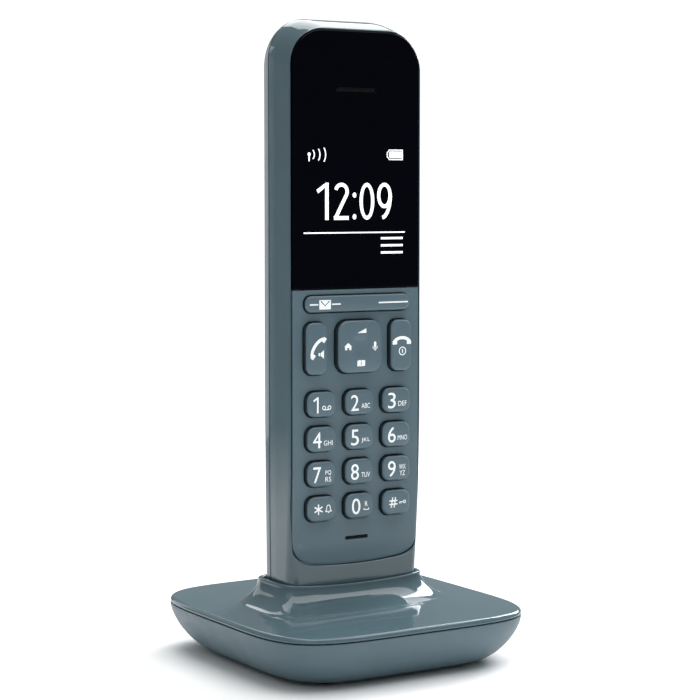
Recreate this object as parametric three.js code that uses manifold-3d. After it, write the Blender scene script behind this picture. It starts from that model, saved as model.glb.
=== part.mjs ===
// A cordless telephone standing in its charging base.
// Millimetres, +Z up. The origin is under the middle of the base, on the surface it stands on.
// +X is to the right of someone facing the keypad, and the keypad faces -Y.

import * as THREE from 'three';
import { mergeVertices } from 'three/addons/utils/BufferGeometryUtils.js';
import Module from 'manifold-3d';

const wasm = await Module();
wasm.setup();

// ---------------------------------------------------------------- driving dimensions

const GAP = 0.3; // clearance between pieces that touch on the real object
const JOIN = 0.4; // how far one solid reaches into another that it is moulded with

const FOOT = { radius: 4.2, height: 0.8, seat: 0.8, x: 22.5, y: 26.5 };

const BASE = {
  halfX: 42.4,
  halfY: 43.4,
  power: 4.8, // exponent of the rounded-square plan
  seamZ: 13.9,
  edgeZ: 15.5, // outer edge of the deck
  deckZ: 16.2, // deck at the foot of the collar
  wall: 1.6,
  inset: 9.7, // how far the tray draws in from the seam to the floor
  bowl: 1.54, // exponent of the tray's side curve
};

const HANDSET = {
  halfX: 22.05,
  bottomZ: 11.0,
  frontTopZ: 180.4,
  topZ: 183.6, // on the parting line
  frontY: -7.2,
  partY: 4.45, // line where the front and back shells meet
  widestY: 1.3,
  backY: 10.9,
  wall: 1.4,
  taper: 0.35, // how much each side draws in at the bottom
  backPower: 5,
  edgeRadius: 0.6,
  chinRadius: 3.6, // front corner radius where the handset enters the base
};

const COLLAR = {
  centreY: 1.85,
  pocketX: 22.4,
  pocketY: 9.75,
  pocketPower: 6,
  wall: 1.3,
  rimZ: 23.3,
  frontDip: 1.0,
  floorZ: 10.6,
  floor: 1.6,
  footX: 30.3,
  footY: 18.9,
  footCentreY: 0.5,
  footPower: 3,
};

const PANEL = {
  halfX: 21.2,
  faceY: -7.4,
  thick: 1.0,
  topZ: 179.8,
  topRadius: 10,
  splitZ: 107, // between the display window and the keypad
  bottomZ: 28,
  cornerStartX: 14,
  cornerEndZ: 38.5,
  slot: 0.25, // groove between the panel and the shell
};
PANEL.backY = PANEL.faceY + PANEL.thick;

// The shell's ledge behind the front panel, with one opening for the keys and one for the display.
const LEDGE = { frontY: PANEL.backY + GAP, backY: -5.1 };
const KEY_OPENING = { halfX: 19.2, bottomZ: 39.6, topZ: 106.4, radius: 1.5 };
const DISPLAY_OPENING = { halfX: 17.6, bottomZ: 108.6, topZ: 154.6, radius: 1 };
const AHEAD = -12; // a depth in front of everything on the handset

const KEY = { topY: -9.2, flange: 0.4, flangeThick: 0.5, gap: 0.25, edge: 0.7 };
KEY.flangeY = PANEL.backY + GAP;

const BOARD = { frontY: -3.8, backY: -2.8, halfX: 18.2, bottomZ: 15, topZ: 176, cornerRadius: 9 };

const CELL = { radius: 5.25, length: 44.5, nub: 1, x: 5.6, y: 3.85, bottomZ: 63.8 };

const BAY = { halfX: 11.3, frontY: -1.7, bottomZ: 61, topZ: 111, wall: 0.8, lidSeatY: 8.4 };

const DOOR = { halfX: 17.5, bottomZ: 31, topZ: 120, cornerRadius: 4 };

const SCREW = { shank: 1.1, pilot: 1.4, boss: 2.8 };

const EARPIECE = { z: 163.2, radius: 6, slotHalfX: 6.7, slotHalfZ: 0.6 };
const MICROPHONE = { z: 35.3, radius: 3, slotHalfX: 3.9, slotHalfZ: 0.5 };
const CAPSULE_Y = [-5.9, -4.1];
const LOUDSPEAKER = { z: 142, radius: 10, frontY: 4.8, backY: 9.1 };
const CHARGE_X = 9;

// ---------------------------------------------------------------- solids and booleans

function toSolid(geometry) {
  const bare = geometry.clone();
  bare.deleteAttribute('normal');
  bare.deleteAttribute('uv');
  const merged = mergeVertices(bare, 1e-4);
  return new wasm.Manifold(
    new wasm.Mesh({
      numProp: 3,
      vertProperties: new Float32Array(merged.attributes.position.array),
      triVerts: new Uint32Array(merged.index.array),
    }),
  );
}

function toGeometry(solid) {
  const mesh = solid.getMesh();
  const geometry = new THREE.BufferGeometry();
  geometry.setAttribute('position', new THREE.BufferAttribute(mesh.vertProperties, 3));
  geometry.setIndex(new THREE.BufferAttribute(mesh.triVerts, 1));
  geometry.computeVertexNormals();
  return geometry;
}

function cut(solid, tools) {
  return tools.reduce((left, tool) => left.subtract(tool), solid);
}

function join(solid, others) {
  return others.reduce((whole, other) => whole.add(other), solid);
}

function box(x, y, z) {
  const geometry = new THREE.BoxGeometry(x[1] - x[0], y[1] - y[0], z[1] - z[0]);
  geometry.translate((x[0] + x[1]) / 2, (y[0] + y[1]) / 2, (z[0] + z[1]) / 2);
  return toSolid(geometry);
}

function upright(radius, x, y, z, sides = 16) {
  const geometry = new THREE.CylinderGeometry(radius, radius, z[1] - z[0], sides);
  geometry.rotateX(Math.PI / 2);
  geometry.translate(x, y, (z[0] + z[1]) / 2);
  return toSolid(geometry);
}

function level(radius, x, y, z, sides = 16) {
  const geometry = new THREE.CylinderGeometry(radius, radius, y[1] - y[0], sides);
  geometry.translate(x, (y[0] + y[1]) / 2, z);
  return toSolid(geometry);
}

// A turned piece about an upright axis: profile points are (radius, height).
function turned(profile, x, y, sides = 20) {
  const points = profile.map(([radius, z]) => new THREE.Vector2(radius, z));
  const geometry = new THREE.LatheGeometry(points, sides);
  geometry.rotateX(Math.PI / 2);
  geometry.translate(x, y, 0);
  return outwards(geometry);
}

// An outline seen from the front, as a plate between two depths.
function plate(shape, y, curveSegments = 6) {
  const geometry = new THREE.ExtrudeGeometry(shape, {
    depth: y[1] - y[0],
    bevelEnabled: false,
    curveSegments,
  });
  geometry.rotateX(Math.PI / 2);
  geometry.translate(0, y[1], 0);
  return toSolid(geometry);
}

function outwards(geometry) {
  const solid = toSolid(geometry);
  if (solid.volume() >= 0) return solid;
  const flipped = mergeVertices(geometry.clone());
  const order = flipped.index.array;
  for (let i = 0; i < order.length; i += 3) {
    [order[i + 1], order[i + 2]] = [order[i + 2], order[i + 1]];
  }
  return toSolid(flipped);
}

// A closed skin through rings of points, each with the same number of points,
// capped by fans to the middle of the first ring and of the last.
function loft(rings) {
  const count = rings[0].length;
  const middle = (ring) =>
    ring.reduce((sum, point) => sum.add(point), new THREE.Vector3()).divideScalar(count);
  const points = [...rings.flat(), middle(rings[0]), middle(rings.at(-1))];
  const firstCentre = rings.length * count;
  const lastRow = (rings.length - 1) * count;
  const faces = [];
  for (let i = 0; i < count; i += 1) {
    const next = (i + 1) % count;
    for (let row = 0; row < lastRow; row += count) {
      faces.push(row + i, row + next, row + count + next);
      faces.push(row + i, row + count + next, row + count + i);
    }
    faces.push(firstCentre, next, i);
    faces.push(firstCentre + 1, lastRow + i, lastRow + next);
  }
  const geometry = new THREE.BufferGeometry().setFromPoints(points);
  geometry.setIndex(faces);
  return outwards(geometry);
}

// ---------------------------------------------------------------- outlines

function signedPower(value, power) {
  return Math.sign(value) * Math.abs(value) ** power;
}

// Points of a rounded rectangle about a centre, walking once round it.
function roundedPoints(halfA, halfB, radius, steps = 4) {
  const points = [];
  for (let corner = 0; corner < 4; corner += 1) {
    const signA = corner === 0 || corner === 3 ? 1 : -1;
    const signB = corner < 2 ? 1 : -1;
    for (let step = 0; step <= steps; step += 1) {
      const angle = ((corner + step / steps) * Math.PI) / 2;
      points.push([
        signA * (halfA - radius) + radius * Math.cos(angle),
        signB * (halfB - radius) + radius * Math.sin(angle),
      ]);
    }
  }
  return points;
}

function roundedShape(halfX, lowZ, highZ, radius, centreX = 0) {
  const middleZ = (lowZ + highZ) / 2;
  const points = roundedPoints(halfX, (highZ - lowZ) / 2, radius, 3);
  return new THREE.Shape(points.map(([x, z]) => new THREE.Vector2(centreX + x, middleZ + z)));
}

// A level ring round the base or the collar. The dip lowers the middle of its front.
function planRing({ halfX, halfY, power, z, centreY = 0, dip = 0 }, count = 40) {
  const ring = [];
  for (let i = 0; i < count; i += 1) {
    const angle = ((i + 0.5) / count) * 2 * Math.PI;
    const across = signedPower(Math.cos(angle), 2 / power);
    const along = signedPower(Math.sin(angle), 2 / power);
    const frontness = Math.max(0, -along) * (1 - across * across);
    ring.push(new THREE.Vector3(halfX * across, centreY + halfY * along, z - dip * frontness));
  }
  return ring;
}

// ---------------------------------------------------------------- the base's case

// Ring of the base's own plan, drawn in by inset.
function baseRing(inset, z) {
  return planRing({ halfX: BASE.halfX - inset, halfY: BASE.halfY - inset, power: BASE.power, z });
}

// The tray's side curve, from its top edge down to its floor.
function traySide(wall, topZ, steps = 7) {
  const rings = [];
  const floorZ = FOOT.height + wall;
  for (let step = 0; step <= steps; step += 1) {
    const angle = (step / steps) * (Math.PI / 2);
    const drawIn = 1 - Math.cos(angle) ** (2 / BASE.bowl);
    const lift = 1 - Math.sin(angle) ** (2 / BASE.bowl);
    rings.push(baseRing(wall + (BASE.inset - wall / 4) * drawIn, floorZ + (topZ - floorZ) * lift));
  }
  return rings;
}

const SCREW_SPOTS = [-1, 1].flatMap((sx) => [-1, 1].map((sy) => [sx * 27, sy * 12]));
const FOOT_SPOTS = [-1, 1].flatMap((sx) => [-1, 1].map((sy) => [sx * FOOT.x, sy * FOOT.y]));
const POST_SPOTS = [-1, 1].flatMap((sx) => [-20, 29].map((y) => [sx * 19, y]));

const SCREW_HEAD_SEAT = 2.6;
const JACK = { x: 14, halfX: 6.3, y: [22, 38.6], z: [4.9, 12.5], mouthHalfX: 4.85, mouthDepth: 11.5 };
const PAGE = { z: 9, halfX: 4.8, halfZ: 2.3, y: [35.9, 41.7], flangeY: [36.6, 37.6], flange: 1 };

function baseTray() {
  const topZ = BASE.seamZ - GAP / 2;
  const outside = traySide(0, topZ);
  const inside = traySide(BASE.wall, topZ).reverse();
  const bowl = loft([...outside.reverse(), ...inside.reverse()]);
  const raised = [
    ...SCREW_SPOTS.map(([x, y]) => upright(3.4, x, y, [FOOT.height, 4.6])),
    ...POST_SPOTS.map(([x, y]) => upright(1.8, x, y, [2, 3.1], 12)),
  ];
  const holes = [
    ...SCREW_SPOTS.map(([x, y]) => upright(2.6, x, y, [0, SCREW_HEAD_SEAT])),
    ...SCREW_SPOTS.map(([x, y]) => upright(SCREW.pilot, x, y, [0, 6])),
    ...FOOT_SPOTS.map(([x, y]) => upright(FOOT.radius + GAP, x, y, [0, FOOT.height + FOOT.seat])),
    ...[-1, 1].map((side) => jackWindow(side)),
    pageOpening(),
  ];
  return cut(join(bowl, raised), holes);
}

function jackWindow(side) {
  const x = [side * JACK.x - JACK.halfX - GAP, side * JACK.x + JACK.halfX + GAP];
  return box(x, [35, 45], [JACK.z[0] - GAP, JACK.z[1] + GAP]);
}

function pageOpening() {
  const clear = 0.35;
  const outline = roundedShape(
    PAGE.halfX + clear,
    PAGE.z - PAGE.halfZ - clear,
    PAGE.z + PAGE.halfZ + clear,
    PAGE.halfZ,
  );
  return plate(outline, [36, 45]);
}

// A ring of the collar: share 0 is its rim and share 1 its foot on the deck.
function collarRing(share, rimZ, footZ, spread = 0) {
  const out = 1 - Math.cos((share * Math.PI) / 2);
  const down = Math.sin((share * Math.PI) / 2);
  const mix = (from, to, part) => from + (to - from) * part;
  const rimX = COLLAR.pocketX + COLLAR.wall;
  const rimY = COLLAR.pocketY + COLLAR.wall;
  return planRing({
    halfX: mix(rimX, COLLAR.footX, out) + spread,
    halfY: mix(rimY, COLLAR.footY, out) + spread,
    centreY: mix(COLLAR.centreY, COLLAR.footCentreY, out),
    power: mix(5.5, COLLAR.footPower, out),
    z: mix(rimZ, footZ, down),
    dip: COLLAR.frontDip * (1 - down),
  });
}

function pocketRing(inset, z, dip = 0) {
  return planRing({
    halfX: COLLAR.pocketX - inset,
    halfY: COLLAR.pocketY - inset,
    centreY: COLLAR.centreY,
    power: COLLAR.pocketPower,
    z,
    dip,
  });
}

function baseCover() {
  const lowZ = BASE.seamZ + GAP / 2;
  const underZ = BASE.edgeZ - BASE.wall + GAP;
  const hollowZ = COLLAR.rimZ - 5;
  const rimShares = [0, 0.2, 0.4, 0.6, 0.8, 1];
  const pocket = [
    pocketRing(0.5, COLLAR.floorZ),
    pocketRing(0, COLLAR.floorZ + 0.5),
    pocketRing(0, COLLAR.rimZ - 0.6, COLLAR.frontDip),
    pocketRing(-0.3, COLLAR.rimZ, COLLAR.frontDip),
    collarRing(0, COLLAR.rimZ, BASE.deckZ, -0.35),
  ];
  const flare = rimShares.map((share) => collarRing(share, COLLAR.rimZ - 0.4, BASE.deckZ));
  const deck = [baseRing(1, BASE.edgeZ), baseRing(0.3, BASE.edgeZ - 0.5), baseRing(0, lowZ + 0.3)];
  const lip = [
    baseRing(0, lowZ),
    baseRing(2.1, lowZ),
    baseRing(2.1, lowZ - 1.2),
    baseRing(2.9, lowZ - 1.2),
    baseRing(2.9, underZ),
  ];
  const under = [1, 0.7, 0.4, 0].map((share) => collarRing(share, hollowZ, underZ, share * 1.5));
  const floor = [pocketRing(-COLLAR.wall, COLLAR.floorZ - COLLAR.floor)];
  const shell = loft([...pocket, ...flare, ...deck, ...lip, ...under, ...floor]);
  const bosses = SCREW_SPOTS.map(([x, y]) => upright(SCREW.boss, x, y, [5, underZ + JOIN]));
  const holes = [
    ...SCREW_SPOTS.map(([x, y]) => upright(SCREW.pilot, x, y, [4, 11.5], 12)),
    ...[-1, 1].map((side) => upright(2.2, side * CHARGE_X, 0, [8, 12], 16)),
  ];
  return cut(join(shell, bosses), holes);
}

// ---------------------------------------------------------------- inside the base

function baseBoard() {
  const outline = roundedPoints(23, 29, 3, 2).map(([x, y]) => [x, y + 4]);
  return loft([3.4, 4.6].map((z) => outline.map(([x, y]) => new THREE.Vector3(x, y, z))));
}

// A modular socket: a block with a mouth to the rear and a latch notch above it.
function jack(side) {
  const x = side * JACK.x;
  const block = box([x - JACK.halfX, x + JACK.halfX], JACK.y, JACK.z);
  const mouthY = [JACK.y[1] - JACK.mouthDepth, JACK.y[1] + 1];
  const mouth = box([x - JACK.mouthHalfX, x + JACK.mouthHalfX], mouthY, [JACK.z[0] + 0.7, 10.9]);
  const latch = box([x - 1.6, x + 1.6], mouthY, [10.5, 11.9]);
  return cut(block, [mouth, latch]);
}

function pageSwitch() {
  return join(box([-3, 3], [30.5, 34.5], [4.9, 11.4]), [level(1.5, 0, [34, 35], PAGE.z, 12)]);
}

function chargeBarrel(x) {
  const profile = [[0, 4.9], [1.9, 4.9], [1.9, 10.4], [1.35, 10.4], [1.35, 5.5], [0, 5.5]];
  return turned(profile, x, 0, 16);
}

function chargePin(x) {
  const profile = [[0, 7.6], [1.1, 7.6], [1.1, 11.6], [0.95, 12.05], [0.55, 12.35], [0, 12.4]];
  return turned(profile, x, 0, 14);
}

class Coil extends THREE.Curve {
  constructor(x, radius, z, turns) {
    super();
    Object.assign(this, { x, radius, z, turns });
  }

  getPoint(t, target = new THREE.Vector3()) {
    const angle = t * this.turns * 2 * Math.PI;
    return target.set(
      this.x + this.radius * Math.cos(angle),
      this.radius * Math.sin(angle),
      this.z[0] + (this.z[1] - this.z[0]) * t,
    );
  }
}

function chargeSpring(x) {
  const half = 0.13;
  const corners = [[1, 1], [-1, 1], [-1, -1], [1, -1]];
  const wire = new THREE.Shape(corners.map(([a, b]) => new THREE.Vector2(a * half, b * half)));
  const path = new Coil(x, 0.95, [5.95, 7.15], 2.5);
  return outwards(new THREE.ExtrudeGeometry(wire, { steps: 22, extrudePath: path, bevelEnabled: false }));
}

function foot(x, y) {
  const top = FOOT.height + FOOT.seat - GAP;
  return turned([[0, 0], [FOOT.radius - 0.4, 0], [FOOT.radius, 0.4], [FOOT.radius, top], [0, top]], x, y, 24);
}

// A cross-head screw, its head down.
function baseScrew(x, y) {
  const headTop = SCREW_HEAD_SEAT - GAP;
  const profile = [[0, 1], [2.2, 1], [2.2, headTop], [SCREW.shank, headTop], [SCREW.shank, 10], [0, 10.8]];
  const arms = [
    box([x - 1.2, x + 1.2], [y - 0.3, y + 0.3], [0.5, 1.7]),
    box([x - 0.3, x + 0.3], [y - 1.2, y + 1.2], [0.5, 1.7]),
  ];
  return cut(turned(profile, x, y, 16), arms);
}

// A pressed key as a stack of rounded rectangles along Y: a wide flange, then the cap.
function keyBody({ x, z, halfX, halfZ, radius, sign = -1, topY, flangeY, flange, edge, steps = 4 }) {
  const [flangeNear, flangeFar] = flangeY;
  const ring = (grow, y) =>
    roundedPoints(halfX + grow, halfZ + grow, Math.max(radius + grow, 0.2), steps).map(
      ([a, b]) => new THREE.Vector3(x + a, y, z + b),
    );
  return loft([
    ring(flange, flangeFar),
    ring(flange, flangeNear),
    ring(0, flangeNear),
    ring(0, topY - sign * edge),
    ring(-edge * 0.35, topY - sign * edge * 0.25),
    ring(-edge, topY),
  ]);
}

function pageKey() {
  return keyBody({
    x: 0,
    z: PAGE.z,
    halfX: PAGE.halfX,
    halfZ: PAGE.halfZ,
    radius: PAGE.halfZ - 0.1,
    sign: 1,
    topY: PAGE.y[1],
    flangeY: [PAGE.flangeY[1], PAGE.flangeY[0]],
    flange: PAGE.flange,
    edge: 0.4,
  });
}

// ---------------------------------------------------------------- the handset's case

function easeDown(z, from, to) {
  return THREE.MathUtils.clamp((from - z) / (from - to), 0, 1);
}

// One level section of the handset: flat front, rounded front corners,
// straight sides, and a back that bulges as a superellipse.
function handsetSection(z, inset) {
  const radius = HANDSET.edgeRadius + (HANDSET.chinRadius - HANDSET.edgeRadius) * easeDown(z, 75, 22) ** 2;
  const halfX = HANDSET.halfX - HANDSET.taper * easeDown(z, 50, HANDSET.bottomZ) - inset;
  const corner = Math.max(radius - inset, 0.2);
  const frontY = HANDSET.frontY + inset;
  const depth = HANDSET.backY - inset - HANDSET.widestY;
  const right = [];
  for (let step = 0; step <= 4; step += 1) {
    const angle = (step / 4) * (Math.PI / 2);
    right.push([
      halfX - corner + corner * Math.sin(angle),
      frontY + corner - corner * Math.cos(angle),
    ]);
  }
  for (let step = 0; step <= 9; step += 1) {
    const angle = (step / 9) * (Math.PI / 2);
    right.push([
      halfX * Math.cos(angle) ** (2 / HANDSET.backPower),
      HANDSET.widestY + depth * Math.sin(angle) ** (2 / HANDSET.backPower),
    ]);
  }
  const left = right.slice(0, -1).map(([x, y]) => [-x, y]);
  return [...right, ...left.reverse()].map(([x, y]) => new THREE.Vector3(x, y, z));
}

// Height of the handset's top at a given depth.
function crownZ(y) {
  if (y <= HANDSET.partY) {
    const share = (HANDSET.partY - y) / (HANDSET.partY - HANDSET.frontY);
    return HANDSET.topZ - (HANDSET.topZ - HANDSET.frontTopZ) * Math.max(share, 0) ** 1.6;
  }
  const share = (y - HANDSET.partY) / (HANDSET.backY - HANDSET.partY);
  return HANDSET.topZ - 7 * share ** 2.2;
}

// The arched outline seen from the front, at one depth.
function archOutline(y, inset, drop) {
  const halfX = HANDSET.halfX + 0.03 - inset;
  const topZ = crownZ(y) - inset - drop;
  const radius = 11.8 - inset;
  const arc = [];
  for (let step = 0; step <= 8; step += 1) {
    const angle = (step / 8) * (Math.PI / 2);
    arc.push([
      halfX - radius + radius * Math.cos(angle),
      topZ - radius + radius * Math.sin(angle),
    ]);
  }
  const right = [[halfX, HANDSET.bottomZ - 5], ...arc];
  const left = right.map(([x, z]) => [-x, z]).reverse();
  return [...right, ...left].map(([x, z]) => new THREE.Vector3(x, y, z));
}

// The whole handset as one form, shrunk by inset on every side.
function handsetForm(inset) {
  const floorZ = HANDSET.bottomZ + inset;
  const sections = [floorZ, floorZ + 1, 22, 29, 36, 44, 56, 75, 190].map((z, index) =>
    handsetSection(z, index === 0 ? inset + 1 : inset),
  );
  const edgeY = HANDSET.frontY + HANDSET.edgeRadius;
  const depths = [-9, HANDSET.frontY, edgeY, -3, 1, HANDSET.partY, 6.5, 8.5, 10, 12];
  const arches = depths.map((y) => archOutline(y, inset, y <= HANDSET.frontY ? HANDSET.edgeRadius : 0));
  return loft(sections).intersect(loft(arches));
}

const outerForm = handsetForm(0);
const innerForm = handsetForm(HANDSET.wall);
const FAR = 60; // a reach beyond every piece, for cutting tools

function slab(y) {
  return box([-FAR, FAR], y, [-FAR, 4 * FAR]);
}

// The lower end of the front panel: a shallow bow between two large corners.
function bowedEnd(shape, halfX, bottomZ) {
  const flankZ = bottomZ + 0.7;
  shape.moveTo(-halfX, PANEL.cornerEndZ);
  shape.bezierCurveTo(-halfX, bottomZ + 5, -halfX + 0.6, bottomZ + 1.4, -PANEL.cornerStartX, flankZ);
  shape.quadraticCurveTo(0, bottomZ - 0.7, PANEL.cornerStartX, flankZ);
  shape.bezierCurveTo(halfX - 0.6, bottomZ + 1.4, halfX, bottomZ + 5, halfX, PANEL.cornerEndZ);
}

// The upper end of the front panel: flat, with two large round corners.
function archedEnd(shape, halfX, topZ, radius) {
  shape.absarc(halfX - radius, topZ - radius, radius, 0, Math.PI / 2, false);
  shape.absarc(-halfX + radius, topZ - radius, radius, Math.PI / 2, Math.PI, false);
}

// Outline of the front panel, grown on every side. lowZ or highZ cuts it straight across.
function panelShape({ grow = 0, lowZ, highZ }) {
  const halfX = PANEL.halfX + grow;
  const shape = new THREE.Shape();
  if (lowZ === undefined) {
    bowedEnd(shape, halfX, PANEL.bottomZ - grow);
  } else {
    shape.moveTo(-halfX, lowZ);
    shape.lineTo(halfX, lowZ);
  }
  if (highZ === undefined) {
    archedEnd(shape, halfX, PANEL.topZ + grow, PANEL.topRadius + grow);
  } else {
    shape.lineTo(halfX, highZ);
    shape.lineTo(-halfX, highZ);
  }
  return shape;
}

const HANDSET_SCREW_SPOTS = [-14, 14].map((x) => [x, 35.8]);

function frontShell() {
  const half = outerForm.intersect(slab([-FAR, HANDSET.partY - GAP / 2]));
  const hollow = innerForm.intersect(slab([LEDGE.backY, FAR]));
  const ledgeY = [LEDGE.frontY - 0.5, LEDGE.backY + 0.5];
  const openings = [
    plate(panelShape({ grow: PANEL.slot }), [AHEAD, LEDGE.frontY]),
    ...[KEY_OPENING, DISPLAY_OPENING].map(({ halfX, bottomZ, topZ, radius }) =>
      plate(roundedShape(halfX, bottomZ, topZ, radius), ledgeY),
    ),
    level(EARPIECE.radius + 0.4, 0, ledgeY, EARPIECE.z, 24),
    level(MICROPHONE.radius + 0.4, 0, ledgeY, MICROPHONE.z, 16),
    ...[-1, 1].map((side) =>
      box([side * CHARGE_X - 3, side * CHARGE_X + 3], [-2, 2], [HANDSET.bottomZ - 1, HANDSET.bottomZ + 2]),
    ),
  ];
  const bosses = HANDSET_SCREW_SPOTS.map(([x, z]) => level(SCREW.boss, x, [LEDGE.backY - JOIN, 4.6], z, 16));
  const pilots = HANDSET_SCREW_SPOTS.map(([x, z]) => level(SCREW.pilot, x, [-4, 6], z, 12));
  return cut(join(cut(half, [hollow, ...openings]), bosses), pilots);
}

const DOOR_SHAPE = roundedShape(DOOR.halfX, DOOR.bottomZ, DOOR.topZ, DOOR.cornerRadius);
const DOOR_HOLE = roundedShape(
  DOOR.halfX + GAP,
  DOOR.bottomZ - GAP,
  DOOR.topZ + GAP,
  DOOR.cornerRadius + GAP,
);
const SCREW_SEAT_Y = 6.4;

function backShell() {
  const half = outerForm.intersect(slab([HANDSET.partY + GAP / 2, FAR]));
  const skin = cut(half, [innerForm, plate(DOOR_HOLE, [0, FAR])]);
  const seat = box([-20.5, 20.5], [BAY.lidSeatY - 0.9, BAY.lidSeatY], [DOOR.bottomZ - 2, DOOR.topZ + 2]);
  const bayOuter = box(
    [-BAY.halfX - BAY.wall, BAY.halfX + BAY.wall],
    [BAY.frontY - BAY.wall, BAY.lidSeatY],
    [BAY.bottomZ - BAY.wall, BAY.topZ + BAY.wall],
  );
  const ringY = [6, LOUDSPEAKER.backY + 0.8];
  const ring = cut(level(LOUDSPEAKER.radius + 1.5, 0, ringY, LOUDSPEAKER.z, 28), [
    level(LOUDSPEAKER.radius + GAP, 0, [0, LOUDSPEAKER.backY + GAP], LOUDSPEAKER.z, 28),
  ]);
  const screwTubes = HANDSET_SCREW_SPOTS.map(([x, z]) => level(3.1, x, [5, BAY.lidSeatY], z, 16));
  const holes = [
    box([-BAY.halfX, BAY.halfX], [BAY.frontY, FAR], [BAY.bottomZ, BAY.topZ]),
    ...HANDSET_SCREW_SPOTS.map(([x, z]) => level(2.3, x, [SCREW_SEAT_Y, FAR], z, 16)),
    ...HANDSET_SCREW_SPOTS.map(([x, z]) => level(SCREW.pilot, x, [0, FAR], z, 12)),
    ...grilleSlots(),
  ];
  return cut(join(skin, [seat, bayOuter, ring, ...screwTubes]), holes);
}

// Upright slots in front of the loudspeaker, longest in the middle.
function grilleSlots() {
  return [-2, -1, 0, 1, 2].map((column) => {
    const x = column * 2.6;
    const half = Math.sqrt(7.5 ** 2 - x ** 2);
    return plate(roundedShape(0.6, LOUDSPEAKER.z - half, LOUDSPEAKER.z + half, 0.55, x), [8, FAR]);
  });
}

function batteryDoor() {
  return outerForm.intersect(plate(DOOR_SHAPE, [0, FAR])).subtract(innerForm);
}

// ---------------------------------------------------------------- front panel and keys

const ROWS = [44.63, 54.6, 64.55, 74.5];
const COLUMNS = [-12.6, 0, 12.6];
const DIGIT = { halfX: 4.75, halfZ: 3.6, radius: 2.6 };
const UPPER_Z = 90.5;
const CALL = { z: UPPER_Z - 0.15, halfX: 3.5, halfZ: 7.4, radius: 2.4 };

const DIGIT_NAMES = [
  ['key_star', 'key_0', 'key_hash'],
  ['key_7', 'key_8', 'key_9'],
  ['key_4', 'key_5', 'key_6'],
  ['key_1', 'key_2', 'key_3'],
];

const KEYS = [
  ...ROWS.flatMap((z, row) =>
    COLUMNS.map((x, column) => ({ name: DIGIT_NAMES[row][column], x, z, ...DIGIT })),
  ),
  { name: 'key_call', x: -14.2, ...CALL },
  { name: 'key_hang_up', x: 14.2, ...CALL },
  { name: 'key_navigation', x: 0, z: UPPER_Z, halfX: 7.3, halfZ: 7.5, radius: 3.4, topY: -9.5, rocks: true },
  { name: 'key_softkeys', x: 0, z: 102.9, halfX: 17.6, halfZ: 2.35, radius: 2.2, topY: -8.5, rocks: true },
];

// A rocking key has a thinner flange, which leaves it room to tip behind the panel.
function frontKey(key) {
  const flangeBack = KEY.flangeY + KEY.flangeThick;
  return keyBody({
    topY: KEY.topY,
    ...key,
    flangeY: [key.rocks ? flangeBack - KEY.flangeThick / 2 : KEY.flangeY, flangeBack],
    flange: KEY.flange,
    edge: KEY.edge,
    steps: 3,
  });
}

// Elastomer cross under the navigation key: it tips up and down, and the key on it tips sideways.
function navigationActuator() {
  const y = [KEY.flangeY + KEY.flangeThick + 0.25, -4.95];
  return join(box([-0.7, 0.7], y, [UPPER_Z - 5, UPPER_Z + 5]), [level(2, 0, y, UPPER_Z)]);
}

// The front panel lies over the shell's front, standing a little proud of it.
function panelStock() {
  const proud = HANDSET.frontY - PANEL.faceY;
  return outerForm.translate([0, -proud, 0]).intersect(slab([-FAR, PANEL.backY]));
}

function soundSlot({ z, slotHalfX, slotHalfZ }) {
  return plate(roundedShape(slotHalfX, z - slotHalfZ, z + slotHalfZ, slotHalfZ - 0.05), [AHEAD, 0]);
}

function displayWindow() {
  const outline = panelShape({ lowZ: PANEL.splitZ + GAP / 2 });
  return cut(plate(outline, [PANEL.faceY, PANEL.backY]), [soundSlot(EARPIECE)]);
}

function keypadPanel() {
  const outline = panelShape({ highZ: PANEL.splitZ - GAP / 2 });
  const blank = plate(outline, [AHEAD, 0]).intersect(panelStock());
  const openings = KEYS.map(({ x, z, halfX, halfZ, radius }) =>
    plate(
      roundedShape(halfX + KEY.gap, z - halfZ - KEY.gap, z + halfZ + KEY.gap, radius + KEY.gap, x),
      [AHEAD, 0],
    ),
  );
  return cut(blank, [...openings, soundSlot(MICROPHONE)]);
}

// ---------------------------------------------------------------- inside the handset

function keypadMat() {
  return plate(roundedShape(18.4, 40.2, 105.8, 2), [-4.6, -4.1]);
}

function handsetBoard() {
  const shape = new THREE.Shape();
  const { halfX, bottomZ, topZ, cornerRadius } = BOARD;
  shape.moveTo(halfX, bottomZ);
  shape.lineTo(halfX, topZ - cornerRadius);
  shape.absarc(halfX - cornerRadius, topZ - cornerRadius, cornerRadius, 0, Math.PI / 2, false);
  shape.absarc(-halfX + cornerRadius, topZ - cornerRadius, cornerRadius, Math.PI / 2, Math.PI, false);
  shape.lineTo(-halfX, bottomZ);
  const holes = HANDSET_SCREW_SPOTS.map(([x, z]) => level(3.1, x, [-6, 0], z, 16));
  return cut(plate(shape, [BOARD.frontY, BOARD.backY], 4), holes);
}

function displayModule() {
  return plate(roundedShape(17.2, 109, 154.2, 0.6), [LEDGE.frontY + 0.1, BOARD.frontY - GAP]);
}

function cell(x, pointsUp) {
  const body = CELL.length - CELL.nub;
  const shoulder = CELL.radius - 0.5;
  const profile = [
    [0, 0],
    [shoulder, 0],
    [CELL.radius, 0.5],
    [CELL.radius, body - 0.5],
    [shoulder, body],
    [1.9, body],
    [1.9, CELL.length],
    [0, CELL.length],
  ];
  const placed = profile.map(([radius, z]) => [
    radius,
    pointsUp ? CELL.bottomZ + z : CELL.bottomZ + CELL.length - z,
  ]);
  return turned(placed, x, CELL.y, 20);
}

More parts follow.
